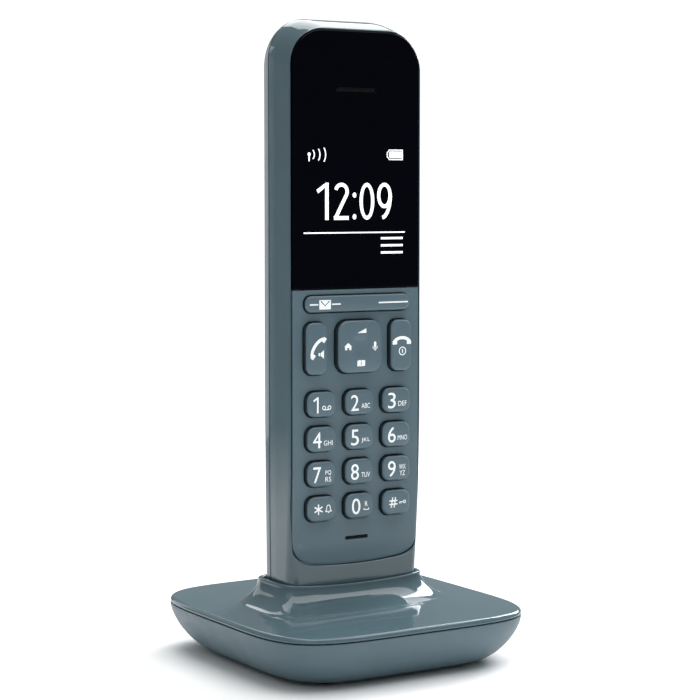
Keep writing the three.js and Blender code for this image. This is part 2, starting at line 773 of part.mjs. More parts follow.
// A spring plate at one end of the battery bay, with a raised touch point for each cell.
function cellContact(xs, atTop) {
  const wallZ = atTop ? BAY.topZ - GAP : BAY.bottomZ + GAP;
  const touchZ = atTop ? CELL.bottomZ + CELL.length + GAP : CELL.bottomZ - GAP;
  const inner = wallZ + (atTop ? -0.5 : 0.5);
  const ordered = (a, b) => [Math.min(a, b), Math.max(a, b)];
  const strip = box([xs[0] - 4, xs.at(-1) + 4], [CELL.y - 3.6, CELL.y + 3.6], ordered(wallZ, inner));
  const bumps = xs.map((x) => upright(1.8, x, CELL.y, ordered(inner + (atTop ? 0.1 : -0.1), touchZ), 12));
  return join(strip, bumps);
}

function chargeContact(side) {
  const x = [side * CHARGE_X - 2.7, side * CHARGE_X + 2.7];
  return join(box(x, [-2.4, 1.7], [12.7, 13.1]), [box(x, [-2.4, -2], [12.8, 17.5])]);
}

function handsetScrew(x, z) {
  const headY = SCREW_SEAT_Y + GAP;
  const shank = level(SCREW.shank, x, [-3.6, headY + 0.2], z, 12);
  const head = level(2, x, [headY, headY + 1.3], z, 16);
  const arms = [
    box([x - 1.1, x + 1.1], [headY + 0.5, headY + 2], [z - 0.3, z + 0.3]),
    box([x - 0.3, x + 0.3], [headY + 0.5, headY + 2], [z - 1.1, z + 1.1]),
  ];
  return cut(join(head, [shank]), arms);
}

function antenna() {
  const y = BOARD.backY + GAP;
  return join(box([-14, 8], [y, y + 0.4], [169.5, 173]), [box([-14, 8], [y, y + 4], [172.6, 173])]);
}

// ---------------------------------------------------------------- materials

function material(color, roughness, metalness = 0) {
  return new THREE.MeshStandardMaterial({ color, roughness, metalness });
}

const GLOSS_GREY = () => material(0x5c6f76, 0.18);
const SATIN_GREY = () => material(0x5f7078, 0.5);
const KEY_GREY = () => material(0x55656d, 0.45);
const BLACK_GLASS = () => material(0x05060a, 0.05);
const RUBBER = () => material(0x1b1d1f, 0.9);
const STEEL = () => material(0x9a9da0, 0.35, 1);
const GOLD = () => material(0xc9a24a, 0.3, 1);
const BOARD_GREEN = () => material(0x1f4d33, 0.6);
const BLACK_PLASTIC = () => material(0x16181a, 0.55);

// ---------------------------------------------------------------- assembly

const phone = new THREE.Group();

function add(group, name, solid, finish) {
  const mesh = new THREE.Mesh(toGeometry(solid), finish);
  mesh.name = name;
  group.add(mesh);
}

const base = new THREE.Group();
phone.add(base);
add(base, 'base_top_cover', baseCover(), GLOSS_GREY());
add(base, 'base_bottom_tray', baseTray(), SATIN_GREY());
add(base, 'base_board', baseBoard(), BOARD_GREEN());
add(base, 'line_jack', jack(-1), BLACK_PLASTIC());
add(base, 'power_jack', jack(1), BLACK_PLASTIC());
add(base, 'paging_key', pageKey(), KEY_GREY());
add(base, 'paging_switch', pageSwitch(), BLACK_PLASTIC());
FOOT_SPOTS.forEach(([x, y], index) => add(base, `foot_${index + 1}`, foot(x, y), RUBBER()));
SCREW_SPOTS.forEach(([x, y], index) => add(base, `base_screw_${index + 1}`, baseScrew(x, y), STEEL()));
[['left', -CHARGE_X], ['right', CHARGE_X]].forEach(([side, x]) => {
  add(base, `charge_barrel_${side}`, chargeBarrel(x), GOLD());
  add(base, `charge_pin_${side}`, chargePin(x), GOLD());
  add(base, `charge_spring_${side}`, chargeSpring(x), STEEL());
});

const handset = new THREE.Group();
phone.add(handset);
add(handset, 'front_shell', frontShell(), GLOSS_GREY());
add(handset, 'back_shell', backShell(), GLOSS_GREY());
add(handset, 'battery_door', batteryDoor(), GLOSS_GREY());
add(handset, 'display_window', displayWindow(), BLACK_GLASS());
add(handset, 'keypad_panel', keypadPanel(), SATIN_GREY());
KEYS.forEach((key) => add(handset, key.name, frontKey(key), KEY_GREY()));
add(handset, 'navigation_actuator', navigationActuator(), RUBBER());
add(handset, 'keypad_mat', keypadMat(), RUBBER());
add(handset, 'handset_board', handsetBoard(), BOARD_GREEN());
add(handset, 'display_module', displayModule(), STEEL());
add(handset, 'earpiece', level(EARPIECE.radius, 0, CAPSULE_Y, EARPIECE.z, 24), BLACK_PLASTIC());
add(handset, 'microphone', level(MICROPHONE.radius, 0, CAPSULE_Y, MICROPHONE.z, 16), BLACK_PLASTIC());
const speakerY = [LOUDSPEAKER.frontY, LOUDSPEAKER.backY];
add(handset, 'loudspeaker', level(LOUDSPEAKER.radius, 0, speakerY, LOUDSPEAKER.z, 28), BLACK_PLASTIC());
add(handset, 'antenna', antenna(), GOLD());
add(handset, 'radio_shield', box([-11, 11], [BOARD.backY + GAP, -0.6], [119, 143]), STEEL());
add(handset, 'battery_cell_left', cell(-CELL.x, true), SATIN_GREY());
add(handset, 'battery_cell_right', cell(CELL.x, false), SATIN_GREY());
add(handset, 'battery_link', cellContact([-CELL.x, CELL.x], false), STEEL());
add(handset, 'battery_contact_left', cellContact([-CELL.x], true), STEEL());
add(handset, 'battery_contact_right', cellContact([CELL.x], true), STEEL());
add(handset, 'charge_contact_left', chargeContact(-1), GOLD());
add(handset, 'charge_contact_right', chargeContact(1), GOLD());
HANDSET_SCREW_SPOTS.forEach(([x, z], index) =>
  add(handset, `handset_screw_${index + 1}`, handsetScrew(x, z), STEEL()),
);

export default phone;
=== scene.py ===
"""A cordless telephone standing in its charging base: its looks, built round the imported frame.

Lengths are millimetres until a mesh is made. X runs to the right of someone facing the keypad,
which faces -Y, and Z is up from the surface the base stands on.
"""

import math

import bmesh
import bpy
import numpy as np
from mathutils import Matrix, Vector


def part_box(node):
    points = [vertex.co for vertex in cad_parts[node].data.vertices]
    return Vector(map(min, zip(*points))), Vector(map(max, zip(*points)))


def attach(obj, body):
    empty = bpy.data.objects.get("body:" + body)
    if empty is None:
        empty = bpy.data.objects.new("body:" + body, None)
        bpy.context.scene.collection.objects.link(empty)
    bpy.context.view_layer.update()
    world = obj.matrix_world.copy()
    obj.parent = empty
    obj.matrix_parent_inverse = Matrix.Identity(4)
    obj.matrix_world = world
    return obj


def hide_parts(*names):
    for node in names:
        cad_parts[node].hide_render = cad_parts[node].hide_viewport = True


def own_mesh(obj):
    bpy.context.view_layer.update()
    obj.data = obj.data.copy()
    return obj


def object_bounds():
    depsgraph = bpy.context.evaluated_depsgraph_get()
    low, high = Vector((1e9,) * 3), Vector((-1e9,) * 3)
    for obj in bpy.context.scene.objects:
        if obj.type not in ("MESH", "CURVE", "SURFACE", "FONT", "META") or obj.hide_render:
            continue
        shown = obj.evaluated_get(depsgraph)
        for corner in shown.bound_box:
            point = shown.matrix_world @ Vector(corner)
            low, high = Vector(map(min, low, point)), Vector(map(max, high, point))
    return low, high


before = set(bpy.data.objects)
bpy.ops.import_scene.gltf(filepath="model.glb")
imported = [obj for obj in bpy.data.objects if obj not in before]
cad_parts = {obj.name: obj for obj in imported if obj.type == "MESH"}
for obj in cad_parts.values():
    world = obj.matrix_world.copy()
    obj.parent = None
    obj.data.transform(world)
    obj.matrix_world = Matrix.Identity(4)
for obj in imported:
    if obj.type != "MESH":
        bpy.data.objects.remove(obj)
cad_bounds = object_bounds()

# ------------------------------------------------------------------ sizes, from the frame

MM = 0.001
GAP = 0.3  # between neighbouring pieces


def span(node):
    """Lowest and highest corner of a CAD node, in millimetres."""
    low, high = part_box(node)
    return np.array(low) / MM, np.array(high) / MM


COVER_HIGH = span("base_top_cover")[1]
TRAY_LOW, TRAY_HIGH = span("base_bottom_tray")
FRONT_LOW, FRONT_HIGH = span("front_shell")
BACK_HIGH = span("back_shell")[1]
PANEL_LOW, PANEL_HIGH = span("keypad_panel")
WINDOW_LOW, WINDOW_HIGH = span("display_window")
DOOR_LOW, DOOR_HIGH = span("battery_door")

PLAN_X, PLAN_Y = COVER_HIGH[0], COVER_HIGH[1]
PLAN_POWER = 4.8  # how square the base is, seen from above
SEAM_Z = TRAY_HIGH[2]
RIM_Z = COVER_HIGH[2]
DECK_Z = RIM_Z - 7.1  # foot of the collar's flare
EDGE_Z = DECK_Z - 0.7  # where the deck rolls over into the side
DECK_ROLL = 1.1  # how far that roll draws in
CASE_WALL = 1.6  # the base's cover and tray
POCKET = {"x": 22.4, "y": 9.75, "centre_y": 1.85, "power": 6, "floor_z": 10.6}
COLLAR_WALL = 1.3
RIM_ROUND = 0.4  # radius of the rim's edges
COLLAR_FOOT = {"x": 30.3, "y": 18.9, "centre_y": 0.5, "power": 3}
COLLAR_RIM_POWER = 5.5
FRONT_DIP = 1.0  # how much lower the rim is in front
FLARE_ARC = math.radians(66)  # how far the flare turns before it meets the deck

CASE_X = FRONT_HIGH[0]
CASE_FRONT = FRONT_LOW[1]
CASE_BACK = BACK_HIGH[1]
CASE_LOW = FRONT_LOW[2]
CASE_TOP = FRONT_HIGH[2]
PART_Y = FRONT_HIGH[1] + GAP / 2
FRONT_DROP, FRONT_DROP_POWER = 3.2, 1.6  # fall of the crown from the parting line to the front
BACK_DROP, BACK_DROP_POWER = 7.0, 2.2  # and to the back
CREASE_Y = 1.1  # behind this the side leans in by BAND_TILT
BAND_TILT = 0.05
WIDEST_Y = 1.3  # the back's roll begins here
BACK_POWER = 6.5  # how square the back's edges are
ARCH_RADIUS = 11.8
EDGE_RADIUS = 0.6
WALL = 1.4  # the handset's shells
TAPER, TAPER_TOP = 0.35, 50  # the lower end draws in by TAPER on each side
CHIN_GROWTH, CHIN_TOP, CHIN_HEIGHT = 3.0, 75, 53  # growth of the front edge's radius towards the chin

PANEL_X = PANEL_HIGH[0]
PANEL_Y = PANEL_LOW[1]
PANEL_BACK = WINDOW_HIGH[1]
PANEL_BEND = math.tan(math.radians(7))  # how the keypad panel leans back below PANEL_BEND_Z
PANEL_BEND_Z = 33.8
GROOVE = 0.42  # dark line between the front panel and the shell
KEY_EDGE = 0.7  # radius of a key's edges
KEY_DOME = 0.12  # and how far its top is domed
EARPIECE_SLOT = (6.7, 0.6, 0.58)  # half length, half height and corner radius
MICROPHONE_SLOT = (3.9, 0.5, 0.49)


def clamp(value, low=0.0, high=1.0):
    return np.minimum(np.maximum(value, low), high)


def centre_of(node):
    low, high = span(node)
    return (low + high) / 2


def plan_centre(node):
    """A CAD node's middle, seen from above."""
    return tuple(centre_of(node)[:2])


def front_centre(node):
    """A CAD node's middle, seen from the front."""
    return tuple(centre_of(node)[[0, 2]])


SCREW_SPOTS = [plan_centre(f"base_screw_{i}") for i in range(1, 5)]
FOOT_SPOTS = [plan_centre(f"foot_{i}") for i in range(1, 5)]
PIN_SPOTS = [plan_centre(f"charge_pin_{side}") for side in ("left", "right")]
SHELL_SCREW_SPOTS = [front_centre(f"handset_screw_{i}") for i in (1, 2)]


# ------------------------------------------------------------------ meshes


def loft(rings, caps=True, wrap=False):
    """Points and faces of a skin through rings that all have the same number of points."""
    count = len(rings[0])
    faces = []
    for row in range(len(rings) if wrap else len(rings) - 1):
        here = row * count
        there = ((row + 1) % len(rings)) * count
        for i in range(count):
            j = (i + 1) % count
            faces.append((here + i, here + j, there + j, there + i))
    if caps and not wrap:
        last = (len(rings) - 1) * count
        faces.append(tuple(range(count))[::-1])
        faces.append(tuple(range(last, last + count)))
    return np.concatenate(rings), faces


def merge(parts):
    """Several (points, faces) as one."""
    points, faces, start = [], [], 0
    for part_points, part_faces in parts:
        points.append(np.asarray(part_points, float))
        faces += [tuple(start + i for i in face) for face in part_faces]
        start += len(part_points)
    return np.concatenate(points), faces


def new_mesh(name, points, faces):
    """A bare mesh, in whatever unit its points have."""
    mesh = bpy.data.meshes.new(name)
    mesh.from_pydata(np.asarray(points).tolist(), [], faces)
    return mesh


def reworked(mesh, work):
    """Lets work change a mesh as a bmesh."""
    made = bmesh.new()
    made.from_mesh(mesh)
    work(made)
    made.to_mesh(mesh)
    made.free()
    return mesh


def taken_apart(mesh):
    """A mesh's points and faces. The mesh itself is removed."""
    points = np.array([v.co for v in mesh.vertices], float)
    faces = [tuple(p.vertices) for p in mesh.polygons]
    bpy.data.meshes.remove(mesh)
    return points, faces


def new_object(name, part):
    """An object from points in millimetres and faces, its normals turned outwards."""
    points, faces = part
    mesh = new_mesh(name, np.asarray(points) * MM, faces)
    reworked(mesh, lambda made: bmesh.ops.recalc_face_normals(made, faces=made.faces))
    obj = bpy.data.objects.new(name, mesh)
    bpy.context.scene.collection.objects.link(obj)
    return obj


def apply_modifiers(obj):
    """Makes the result of an object's modifiers its mesh."""
    graph = bpy.context.evaluated_depsgraph_get()
    graph.update()
    made = bpy.data.meshes.new_from_object(obj.evaluated_get(graph))
    obj.modifiers.clear()
    obj.data = made


def carve(obj, tools, operation="DIFFERENCE"):
    """Cuts closed solids from obj, or joins them to it."""
    cutter = new_object("tool", merge(tools))
    step = obj.modifiers.new("carve", "BOOLEAN")
    step.operation = operation
    step.solver = "EXACT"
    step.object = cutter
    apply_modifiers(obj)
    bpy.data.objects.remove(cutter)


def finish_piece(obj, body, material, stands_for=(), sharp=40):
    """Shades obj smoothly up to an angle, gives it its finish and lets it ride on its body."""
    obj.data.materials.clear()
    obj.data.materials.append(material)
    obj.data.shade_smooth()
    obj.data.set_sharp_from_angle(angle=math.radians(sharp))
    even = obj.modifiers.new("even", "WEIGHTED_NORMAL")
    even.keep_sharp = True
    apply_modifiers(obj)
    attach(obj, body)
    if stands_for:
        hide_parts(*stands_for)
    return obj


# ------------------------------------------------------------------ outlines and rings


def mirrored(pieces):
    """A whole loop from the pieces of its right half, which runs from the bottom's middle to the top's."""
    half = np.concatenate(pieces)
    left = half[1:-1][::-1] * [-1, 1]
    return np.concatenate([half, left])


def arc(centre, radius, start, end, count, last=False):
    angles = np.radians(np.linspace(start, end, count, endpoint=last))
    return np.column_stack([centre[0] + radius * np.cos(angles), centre[1] + radius * np.sin(angles)])


def line(start, end, count, last=False):
    share = np.linspace(0, 1, count, endpoint=last)[:, None]
    return np.asarray(start, float) * (1 - share) + np.asarray(end, float) * share


def bezier(corners, count):
    t = np.linspace(0, 1, count, endpoint=False)[:, None]
    a, b, c, d = (np.asarray(p, float) for p in corners)
    return (1 - t) ** 3 * a + 3 * t * (1 - t) ** 2 * b + 3 * t * t * (1 - t) * c + t**3 * d


def upright_at(loop, y):
    """An outline seen from the front, as points at one depth or at a depth for each point."""
    loop = np.asarray(loop, float)
    return np.column_stack([loop[:, 0], np.broadcast_to(y, len(loop)), loop[:, 1]])


def drawn_in(loop, distance):
    """A loop moved inwards by a small distance."""
    ahead, behind = np.roll(loop, -1, 0), np.roll(loop, 1, 0)
    tangent = ahead - behind
    tangent /= np.linalg.norm(tangent, axis=1)[:, None]
    inward = np.column_stack([-tangent[:, 1], tangent[:, 0]])
    return loop + inward * distance


def rounded_loop(centre, half_x, half_z, radius, steps=7):
    x, z = centre
    corners = [(1, 1, 0), (-1, 1, 90), (-1, -1, 180), (1, -1, 270)]
    arcs = [
        arc((x + sx * (half_x - radius), z + sz * (half_z - radius)), radius, turn, turn + 90, steps, True)
        for sx, sz, turn in corners
    ]
    return np.concatenate(arcs)


RING_COUNT = 208
RING_ANGLES = (np.arange(RING_COUNT) + 0.5) / RING_COUNT * 2 * math.pi


def plan_ring(half_x, half_y, power, z, centre_y=0.0, dip=0.0):
    """A level ring with a superellipse plan. The dip lowers the middle of its front."""
    across, along = np.cos(RING_ANGLES), np.sin(RING_ANGLES)
    reach = (np.abs(across) ** power + np.abs(along) ** power) ** (-1 / power)
    across, along = across * reach, along * reach
    low = dip * np.maximum(0, -along) * (1 - across**2)
    return np.column_stack([half_x * across, centre_y + half_y * along, z - low])


def disc_ring(centre, radius, level, count=40, axis="z"):
    angles = np.arange(count) / count * 2 * math.pi
    a, b = centre[0] + radius * np.cos(angles), centre[1] + radius * np.sin(angles)
    flat = np.full(count, float(level))
    columns = {"z": [a, b, flat], "y": [a, flat, b]}
    return np.column_stack(columns[axis])


def turned(centre, profile, count=40, axis="z"):
    """A turned solid: profile points are (radius, level along the axis)."""
    return loft([disc_ring(centre, radius, level, count, axis) for radius, level in profile])


def quarter(radius, angles):
    """Inset and fall of a rounded edge at some angles: 0 is where it leaves the side and 90 the top."""
    return [(radius * (1 - math.cos(a)), radius * (1 - math.sin(a))) for a in np.radians(angles)]


def turned_at(spots, profile, *how):
    """The same turned solid at several places."""
    return [turned(spot, profile, *how) for spot in spots]


def block(low, high, bevel=0.15):
    """A box with its edges taken off."""
    (x0, y0, z0), (x1, y1, z1) = low, high
    centre, half = ((x0 + x1) / 2, (z0 + z1) / 2), ((x1 - x0) / 2, (z1 - z0) / 2)
    rings = []
    for inset, y in ((bevel * 0.7, y0), (0, y0 + bevel), (0, y1 - bevel), (bevel * 0.7, y1)):
        rings.append(upright_at(rounded_loop(centre, half[0] - inset, half[1] - inset, bevel, 3), y))
    return loft(rings)


# ------------------------------------------------------------------ the handset's form


def edge_radius(z):
    """Radius of the handset's front edges, which grows towards the chin."""
    return EDGE_RADIUS + CHIN_GROWTH * clamp((CHIN_TOP - z) / CHIN_HEIGHT) ** 2


def half_width(z):
    return CASE_X - TAPER * clamp((TAPER_TOP - z) / (TAPER_TOP - CASE_LOW))


def side_x(y, z, inset=0.0):
    """Half the handset's width at a depth and a height."""
    radius = np.maximum(edge_radius(z) - inset, 0.2)
    front = CASE_FRONT + inset
    share = clamp((y - WIDEST_Y) / (CASE_BACK - inset - WIDEST_Y), 0, 0.9999)
    back = (half_width(z) - inset) * (1 - share**BACK_POWER) ** (1 / BACK_POWER)
    into = clamp(front + radius - y, 0, radius)
    return back - BAND_TILT * max(0, y - CREASE_Y) - (radius - np.sqrt(radius**2 - into**2))


def crown_z(y):
    """Height of the handset's top at a depth."""
    if y <= PART_Y:
        return CASE_TOP - FRONT_DROP * ((PART_Y - y) / (PART_Y - CASE_FRONT)) ** FRONT_DROP_POWER
    return CASE_TOP - BACK_DROP * ((y - PART_Y) / (CASE_BACK - PART_Y)) ** BACK_DROP_POWER


BACK_FLAT_Y = 10.3  # where the back's side roll meets its nearly flat middle
CASE_LOW_RADIUS = 1.0


def low_z(y):
    """Height of the handset's lower end at a depth."""
    into = max(CASE_FRONT + CASE_LOW_RADIUS - y, y - BACK_FLAT_Y + CASE_LOW_RADIUS, 0)
    return CASE_LOW + CASE_LOW_RADIUS - math.sqrt(CASE_LOW_RADIUS**2 - min(into, CASE_LOW_RADIUS) ** 2)


CORNER_Z = 38.5  # where the front panel's lower corners begin
LOW_CORNER = 1.5
PANEL_CORNER = 10  # the upper corners of the window
PANEL_CUT = 0.35  # the small corners where window and keypad panel meet
PANEL_BOW = {"reach": 14, "rise": 0.7}  # the panel's lower edge rises by this much from its middle
COUNTS = {"bottom": 12, "corner": 6, "low_side": 16, "side": 44, "arch": 28, "top": 10}
DOOR_HOLE = {
    "x": DOOR_HIGH[0] + GAP,
    "low": DOOR_LOW[2] - GAP,
    "high": DOOR_HIGH[2] + GAP,
    "radius": 4.3,
}


def case_loop(y, inset=0.0, for_door=False):
    """The handset's outline at one depth, with its points in line with the panel's or the door's hole's."""
    low = low_z(y) + inset
    low_end = low + LOW_CORNER
    wide = float(side_x(y, 100.0, inset))
    radius = (ARCH_RADIUS - inset) * wide / (CASE_X - inset)
    top = crown_z(y) - inset
    low_x = float(side_x(y, low_end, inset)) - LOW_CORNER
    rise_end = DOOR_HOLE["low"] + DOOR_HOLE["radius"] if for_door else CORNER_Z
    side_end = DOOR_HOLE["high"] - DOOR_HOLE["radius"] if for_door else top - radius
    upper_count = COUNTS["arch"] // 3 if for_door else 0
    stretches = [
        (low_end, rise_end, COUNTS["low_side"]),
        (rise_end, side_end, COUNTS["side"]),
        (side_end, top - radius, upper_count),
    ]
    heights = np.concatenate([np.linspace(*stretch, endpoint=False) for stretch in stretches])
    return mirrored(
        [
            line((0, low), (low_x, low), COUNTS["bottom"]),
            arc((low_x, low_end), LOW_CORNER, -90, 0, COUNTS["corner"]),
            np.column_stack([side_x(y, heights, inset), heights]),
            arc((wide - radius, top - radius), radius, 0, 90, COUNTS["arch"] - upper_count),
            line((wide - radius, top), (0, top), COUNTS["top"], True),
        ]
    )


def front_depth(x, z):
    """Depth of the handset's front at a place seen from the front."""
    x, z = np.abs(x), np.asarray(z, float)
    radius = edge_radius(z)
    top = crown_z(CASE_FRONT + EDGE_RADIUS)
    centre_x, centre_z = CASE_X - ARCH_RADIUS, top - ARCH_RADIUS
    from_arch = np.where(x > centre_x, ARCH_RADIUS - np.hypot(x - centre_x, z - centre_z), top - z)
    from_side = np.where(z > centre_z, from_arch, half_width(z) - x)

    def roll(size, inward):
        return size - np.sqrt(size**2 - clamp(size - inward, 0, size) ** 2)

    low_roll = roll(CASE_LOW_RADIUS, z - CASE_LOW)
    return CASE_FRONT + np.maximum(roll(radius, from_side), low_roll)


def back_depth(x, z):
    """Depth of the handset's back, inside the roll of its edge."""
    lean = BAND_TILT * (BACK_FLAT_Y - CREASE_Y)
    share = clamp((np.abs(x) + lean) / CASE_X, 0, 0.9999)
    depth = CASE_BACK - WIDEST_Y
    side_fall = depth - depth * (1 - share**BACK_POWER) ** (1 / BACK_POWER)
    fall_share = clamp((CASE_TOP - z) / BACK_DROP)
    top_fall = (CASE_BACK - PART_Y) * (1 - fall_share ** (1 / BACK_DROP_POWER))
    return CASE_BACK - (side_fall**3 + top_fall**3) ** (1 / 3)


def upper_half(x, start_z, top, radius, counts):
    """The right side from a height up, its upper corner and half the top edge."""
    return [
        line((x, start_z), (x, top - radius), counts["side"]),
        arc((x - radius, top - radius), radius, 0, 90, counts["arch"]),
        line((x - radius, top), (0, top), counts["top"], True),
    ]


def panel_loop(grow, top, top_radius, counts=COUNTS):
    """The front panel's outline: a bowed lower edge, wide swept corners and straight sides."""
    x = PANEL_X + grow
    bottom = PANEL_LOW[2] - grow
    bow_x = np.linspace(0, PANEL_BOW["reach"], counts["bottom"], endpoint=False)
    bow_z = bottom + PANEL_BOW["rise"] * (bow_x / PANEL_BOW["reach"]) ** 2
    bow_end = (PANEL_BOW["reach"], bottom + PANEL_BOW["rise"])
    sweep_round = [bow_end, (x - 0.6, bottom + 1.4), (x, bottom + 5), (x, CORNER_Z)]
    return mirrored(
        [
            np.column_stack([bow_x, bow_z]),
            bezier(sweep_round, counts["corner"] + counts["low_side"]),
            *upper_half(x, CORNER_Z, top, top_radius, counts),
        ]
    )


def frame_loop(half_x, low, high, low_radius, high_radius, counts=COUNTS):
    """An upright frame whose points line up with the case's and the panel's outlines."""
    low_corner = (half_x - low_radius, low + low_radius)
    corner_count = counts["corner"] + counts["low_side"]
    return mirrored(
        [
            line((0, low), (low_corner[0], low), counts["bottom"]),
            arc(low_corner, low_radius, -90, 0, corner_count),
            *upper_half(half_x, low_corner[1], high, high_radius, counts),
        ]
    )


# ------------------------------------------------------------------ materials


class Nodes:
    """A material's node tree, with short ways to add and join nodes."""

    def __init__(self, name):
        self.material = bpy.data.materials.new(name)
        self.material.use_nodes = True
        self.tree = self.material.node_tree
        self.shader = self.tree.nodes["Principled BSDF"]
        self.place = self.add("ShaderNodeTexCoord").outputs["Object"]

    def add(self, kind, **settings):
        node = self.tree.nodes.new(kind)
        for name, value in settings.items():
            setattr(node, name, value)
        return node

    def join(self, source, target):
        self.tree.links.new(source, target)

    def drive(self, **sources):
        """Joins outputs to the shader's inputs of those names."""
        for name, source in sources.items():
            self.join(source, self.shader.inputs[name.replace("_", " ")])

    def set(self, **values):
        for name, value in values.items():
            self.shader.inputs[name.replace("_", " ")].default_value = value

    def noise(self, size_mm, detail=2.0, stretch=(1, 1, 1)):
        """A soft noise from 0 to 1 whose grains are about size_mm across."""
        place = self.place
        if stretch != (1, 1, 1):
            scaled = self.add("ShaderNodeMapping")
            scaled.inputs["Scale"].default_value = stretch
            self.join(place, scaled.inputs["Vector"])
            place = scaled.outputs["Vector"]
        node = self.add("ShaderNodeTexNoise")
        node.inputs["Scale"].default_value = 1 / (size_mm * MM)
        node.inputs["Detail"].default_value = detail
        self.join(place, node.inputs["Vector"])
        return node.outputs["Fac"]

    def ranged(self, source, low, high, from_low=0.3, from_high=0.7):
        """Carries the source's range over to low and high."""
        node = self.add("ShaderNodeMapRange")
        limits = {"From Min": from_low, "From Max": from_high, "To Min": low, "To Max": high}
        for name, value in limits.items():
            node.inputs[name].default_value = value
        self.join(source, node.inputs["Value"])
        return node.outputs["Result"]

    def mixed(self, factor, first, second):
        node = self.add("ShaderNodeMix", data_type="RGBA")
        self.join(factor, node.inputs["Factor"])
        for socket, value in ((node.inputs[6], first), (node.inputs[7], second)):
            if isinstance(value, tuple):
                socket.default_value = (*value, 1)
            else:
                self.join(value, socket)
        return node.outputs[2]

    def bump(self, *layers):
        """Layers of (height, depth in mm), the finest last."""
        normal = None
        for height, depth in layers:
            node = self.add("ShaderNodeBump")
            node.inputs["Distance"].default_value = depth * MM
            node.inputs["Strength"].default_value = 1.0
            self.join(height, node.inputs["Height"])
            if normal is not None:
                self.join(normal, node.inputs["Normal"])
            normal = node.outputs["Normal"]
        self.join(normal, self.shader.inputs["Normal"])

    def worn(self, colour, worn_colour, strength):
        """Colour that turns paler along outer edges."""
        shape = self.add("ShaderNodeNewGeometry").outputs["Pointiness"]
        patches = self.ranged(self.noise(3.5, 3), 0.2, 1)
        edge = self.ranged(shape, 0, strength, 0.53, 0.62)
        factor = self.add("ShaderNodeMath", operation="MULTIPLY")
        self.join(edge, factor.inputs[0])
        self.join(patches, factor.inputs[1])
        return self.mixed(factor.outputs[0], colour, worn_colour)


def tinted(colour, share):
    """A darker or a paler tone of a colour."""
    return tuple(value * share for value in colour)


def plastic(name, colour, roughness, grain_mm, grain_depth):
    """Moulded plastic: a tint that drifts, a fine mould grain, uneven gloss and paler edges."""
    nodes = Nodes(name)
    drift = nodes.ranged(nodes.noise(18, 3), 0, 1)
    body = nodes.mixed(drift, tinted(colour, 0.96), tinted(colour, 1.04))
    gloss = nodes.ranged(nodes.noise(6, 4), roughness * 0.85, roughness * 1.2)
    nodes.drive(Base_Color=nodes.worn(body, tinted(colour, 1.9), 0.25), Roughness=gloss)
    nodes.bump((nodes.noise(4, 2), grain_depth * 2), (nodes.noise(grain_mm, 3), grain_depth))
    nodes.set(IOR=1.5)
    return nodes.material


def key_plastic(name, colour):
    """Satin key plastic with painted shade: walls that face sideways are darkened to stand for the shadowed
    gaps round each key.
    """
    nodes = Nodes(name)
    parts = nodes.add("ShaderNodeSeparateXYZ")
    nodes.join(nodes.add("ShaderNodeTexCoord").outputs["Normal"], parts.inputs[0])
    # painted shade: the more a face turns sideways, the nearer its colour comes to a fifth of the key's
    painted_wall_shade = nodes.ranged(parts.outputs["Y"], 1, 0, -0.5, -0.05)
    drift = nodes.ranged(nodes.noise(18, 3), 0, 1)
    paint = nodes.mixed(drift, tinted(colour, 0.96), tinted(colour, 1.04))
    worn = nodes.worn(paint, tinted(colour, 1.7), 0.3)
    gloss = nodes.ranged(nodes.noise(6, 4), 0.3, 0.4)
    nodes.drive(Base_Color=nodes.mixed(painted_wall_shade, tinted(colour, 0.2), worn), Roughness=gloss)
    nodes.bump((nodes.noise(4, 2), 0.006), (nodes.noise(0.14, 3), 0.003))
    return nodes.material


def metal(name, colour, roughness, brush=(1, 1, 14)):
    """Plated or rolled metal with fine brush lines and dull patches."""
    nodes = Nodes(name)
    lines = nodes.noise(0.5, 4, brush)
    tone = nodes.mixed(nodes.ranged(lines, 0, 1), tinted(colour, 0.86), colour)
    gloss = nodes.ranged(nodes.noise(1.5, 3), roughness * 0.8, roughness * 1.4)
    nodes.drive(Base_Color=tone, Roughness=gloss)
    nodes.bump((lines, 0.002))
    nodes.set(Metallic=1.0)
    return nodes.material


def circuit_board(name):
    """Solder mask over copper tracks that run in short right-angled lengths."""
    nodes = Nodes(name)
    cells = nodes.add("ShaderNodeTexVoronoi", distance="MANHATTAN", feature="DISTANCE_TO_EDGE")
    cells.inputs["Scale"].default_value = 1 / (2.4 * MM)
    nodes.join(nodes.place, cells.inputs["Vector"])
    track = nodes.ranged(cells.outputs["Distance"], 1, 0, 0.06, 0.09)
    colour = nodes.mixed(track, (0.012, 0.075, 0.032), (0.03, 0.16, 0.06))
    nodes.drive(Base_Color=colour, Roughness=nodes.ranged(nodes.noise(5, 3), 0.28, 0.42))
    nodes.bump((track, 0.02), (nodes.noise(0.3, 2), 0.002))
    return nodes.material


def display_glass(name):
    """Black-backed glossy window with the faintest smears."""
    nodes = Nodes(name)
    smear = nodes.noise(9, 5, (1, 1, 2.5))
    tone = nodes.mixed(nodes.ranged(smear, 0, 1), (0.0009, 0.0011, 0.0032), (0.0013, 0.0015, 0.0042))
    nodes.drive(Base_Color=tone, Roughness=nodes.ranged(smear, 0.03, 0.07))
    nodes.bump((nodes.noise(30, 1), 0.002))
    nodes.set(Specular_IOR_Level=0.06)
    return nodes.material


def lit_symbol(name, colour, strength):
    """Lit display dots, or printed ink with a faint painted glow that keeps it pale in the shade."""
    nodes = Nodes(name)
    grid = nodes.ranged(nodes.noise(0.25, 1), 0.92, 1.0)
    tone = nodes.mixed(grid, tinted(colour, 0.85), colour)
    gloss = nodes.ranged(nodes.noise(0.6, 2), 0.35, 0.5)
    nodes.drive(Base_Color=tone, Emission_Color=tone, Roughness=gloss)
    nodes.set(Emission_Strength=strength)
    nodes.bump((nodes.noise(0.15, 2), 0.001))
    return nodes.material


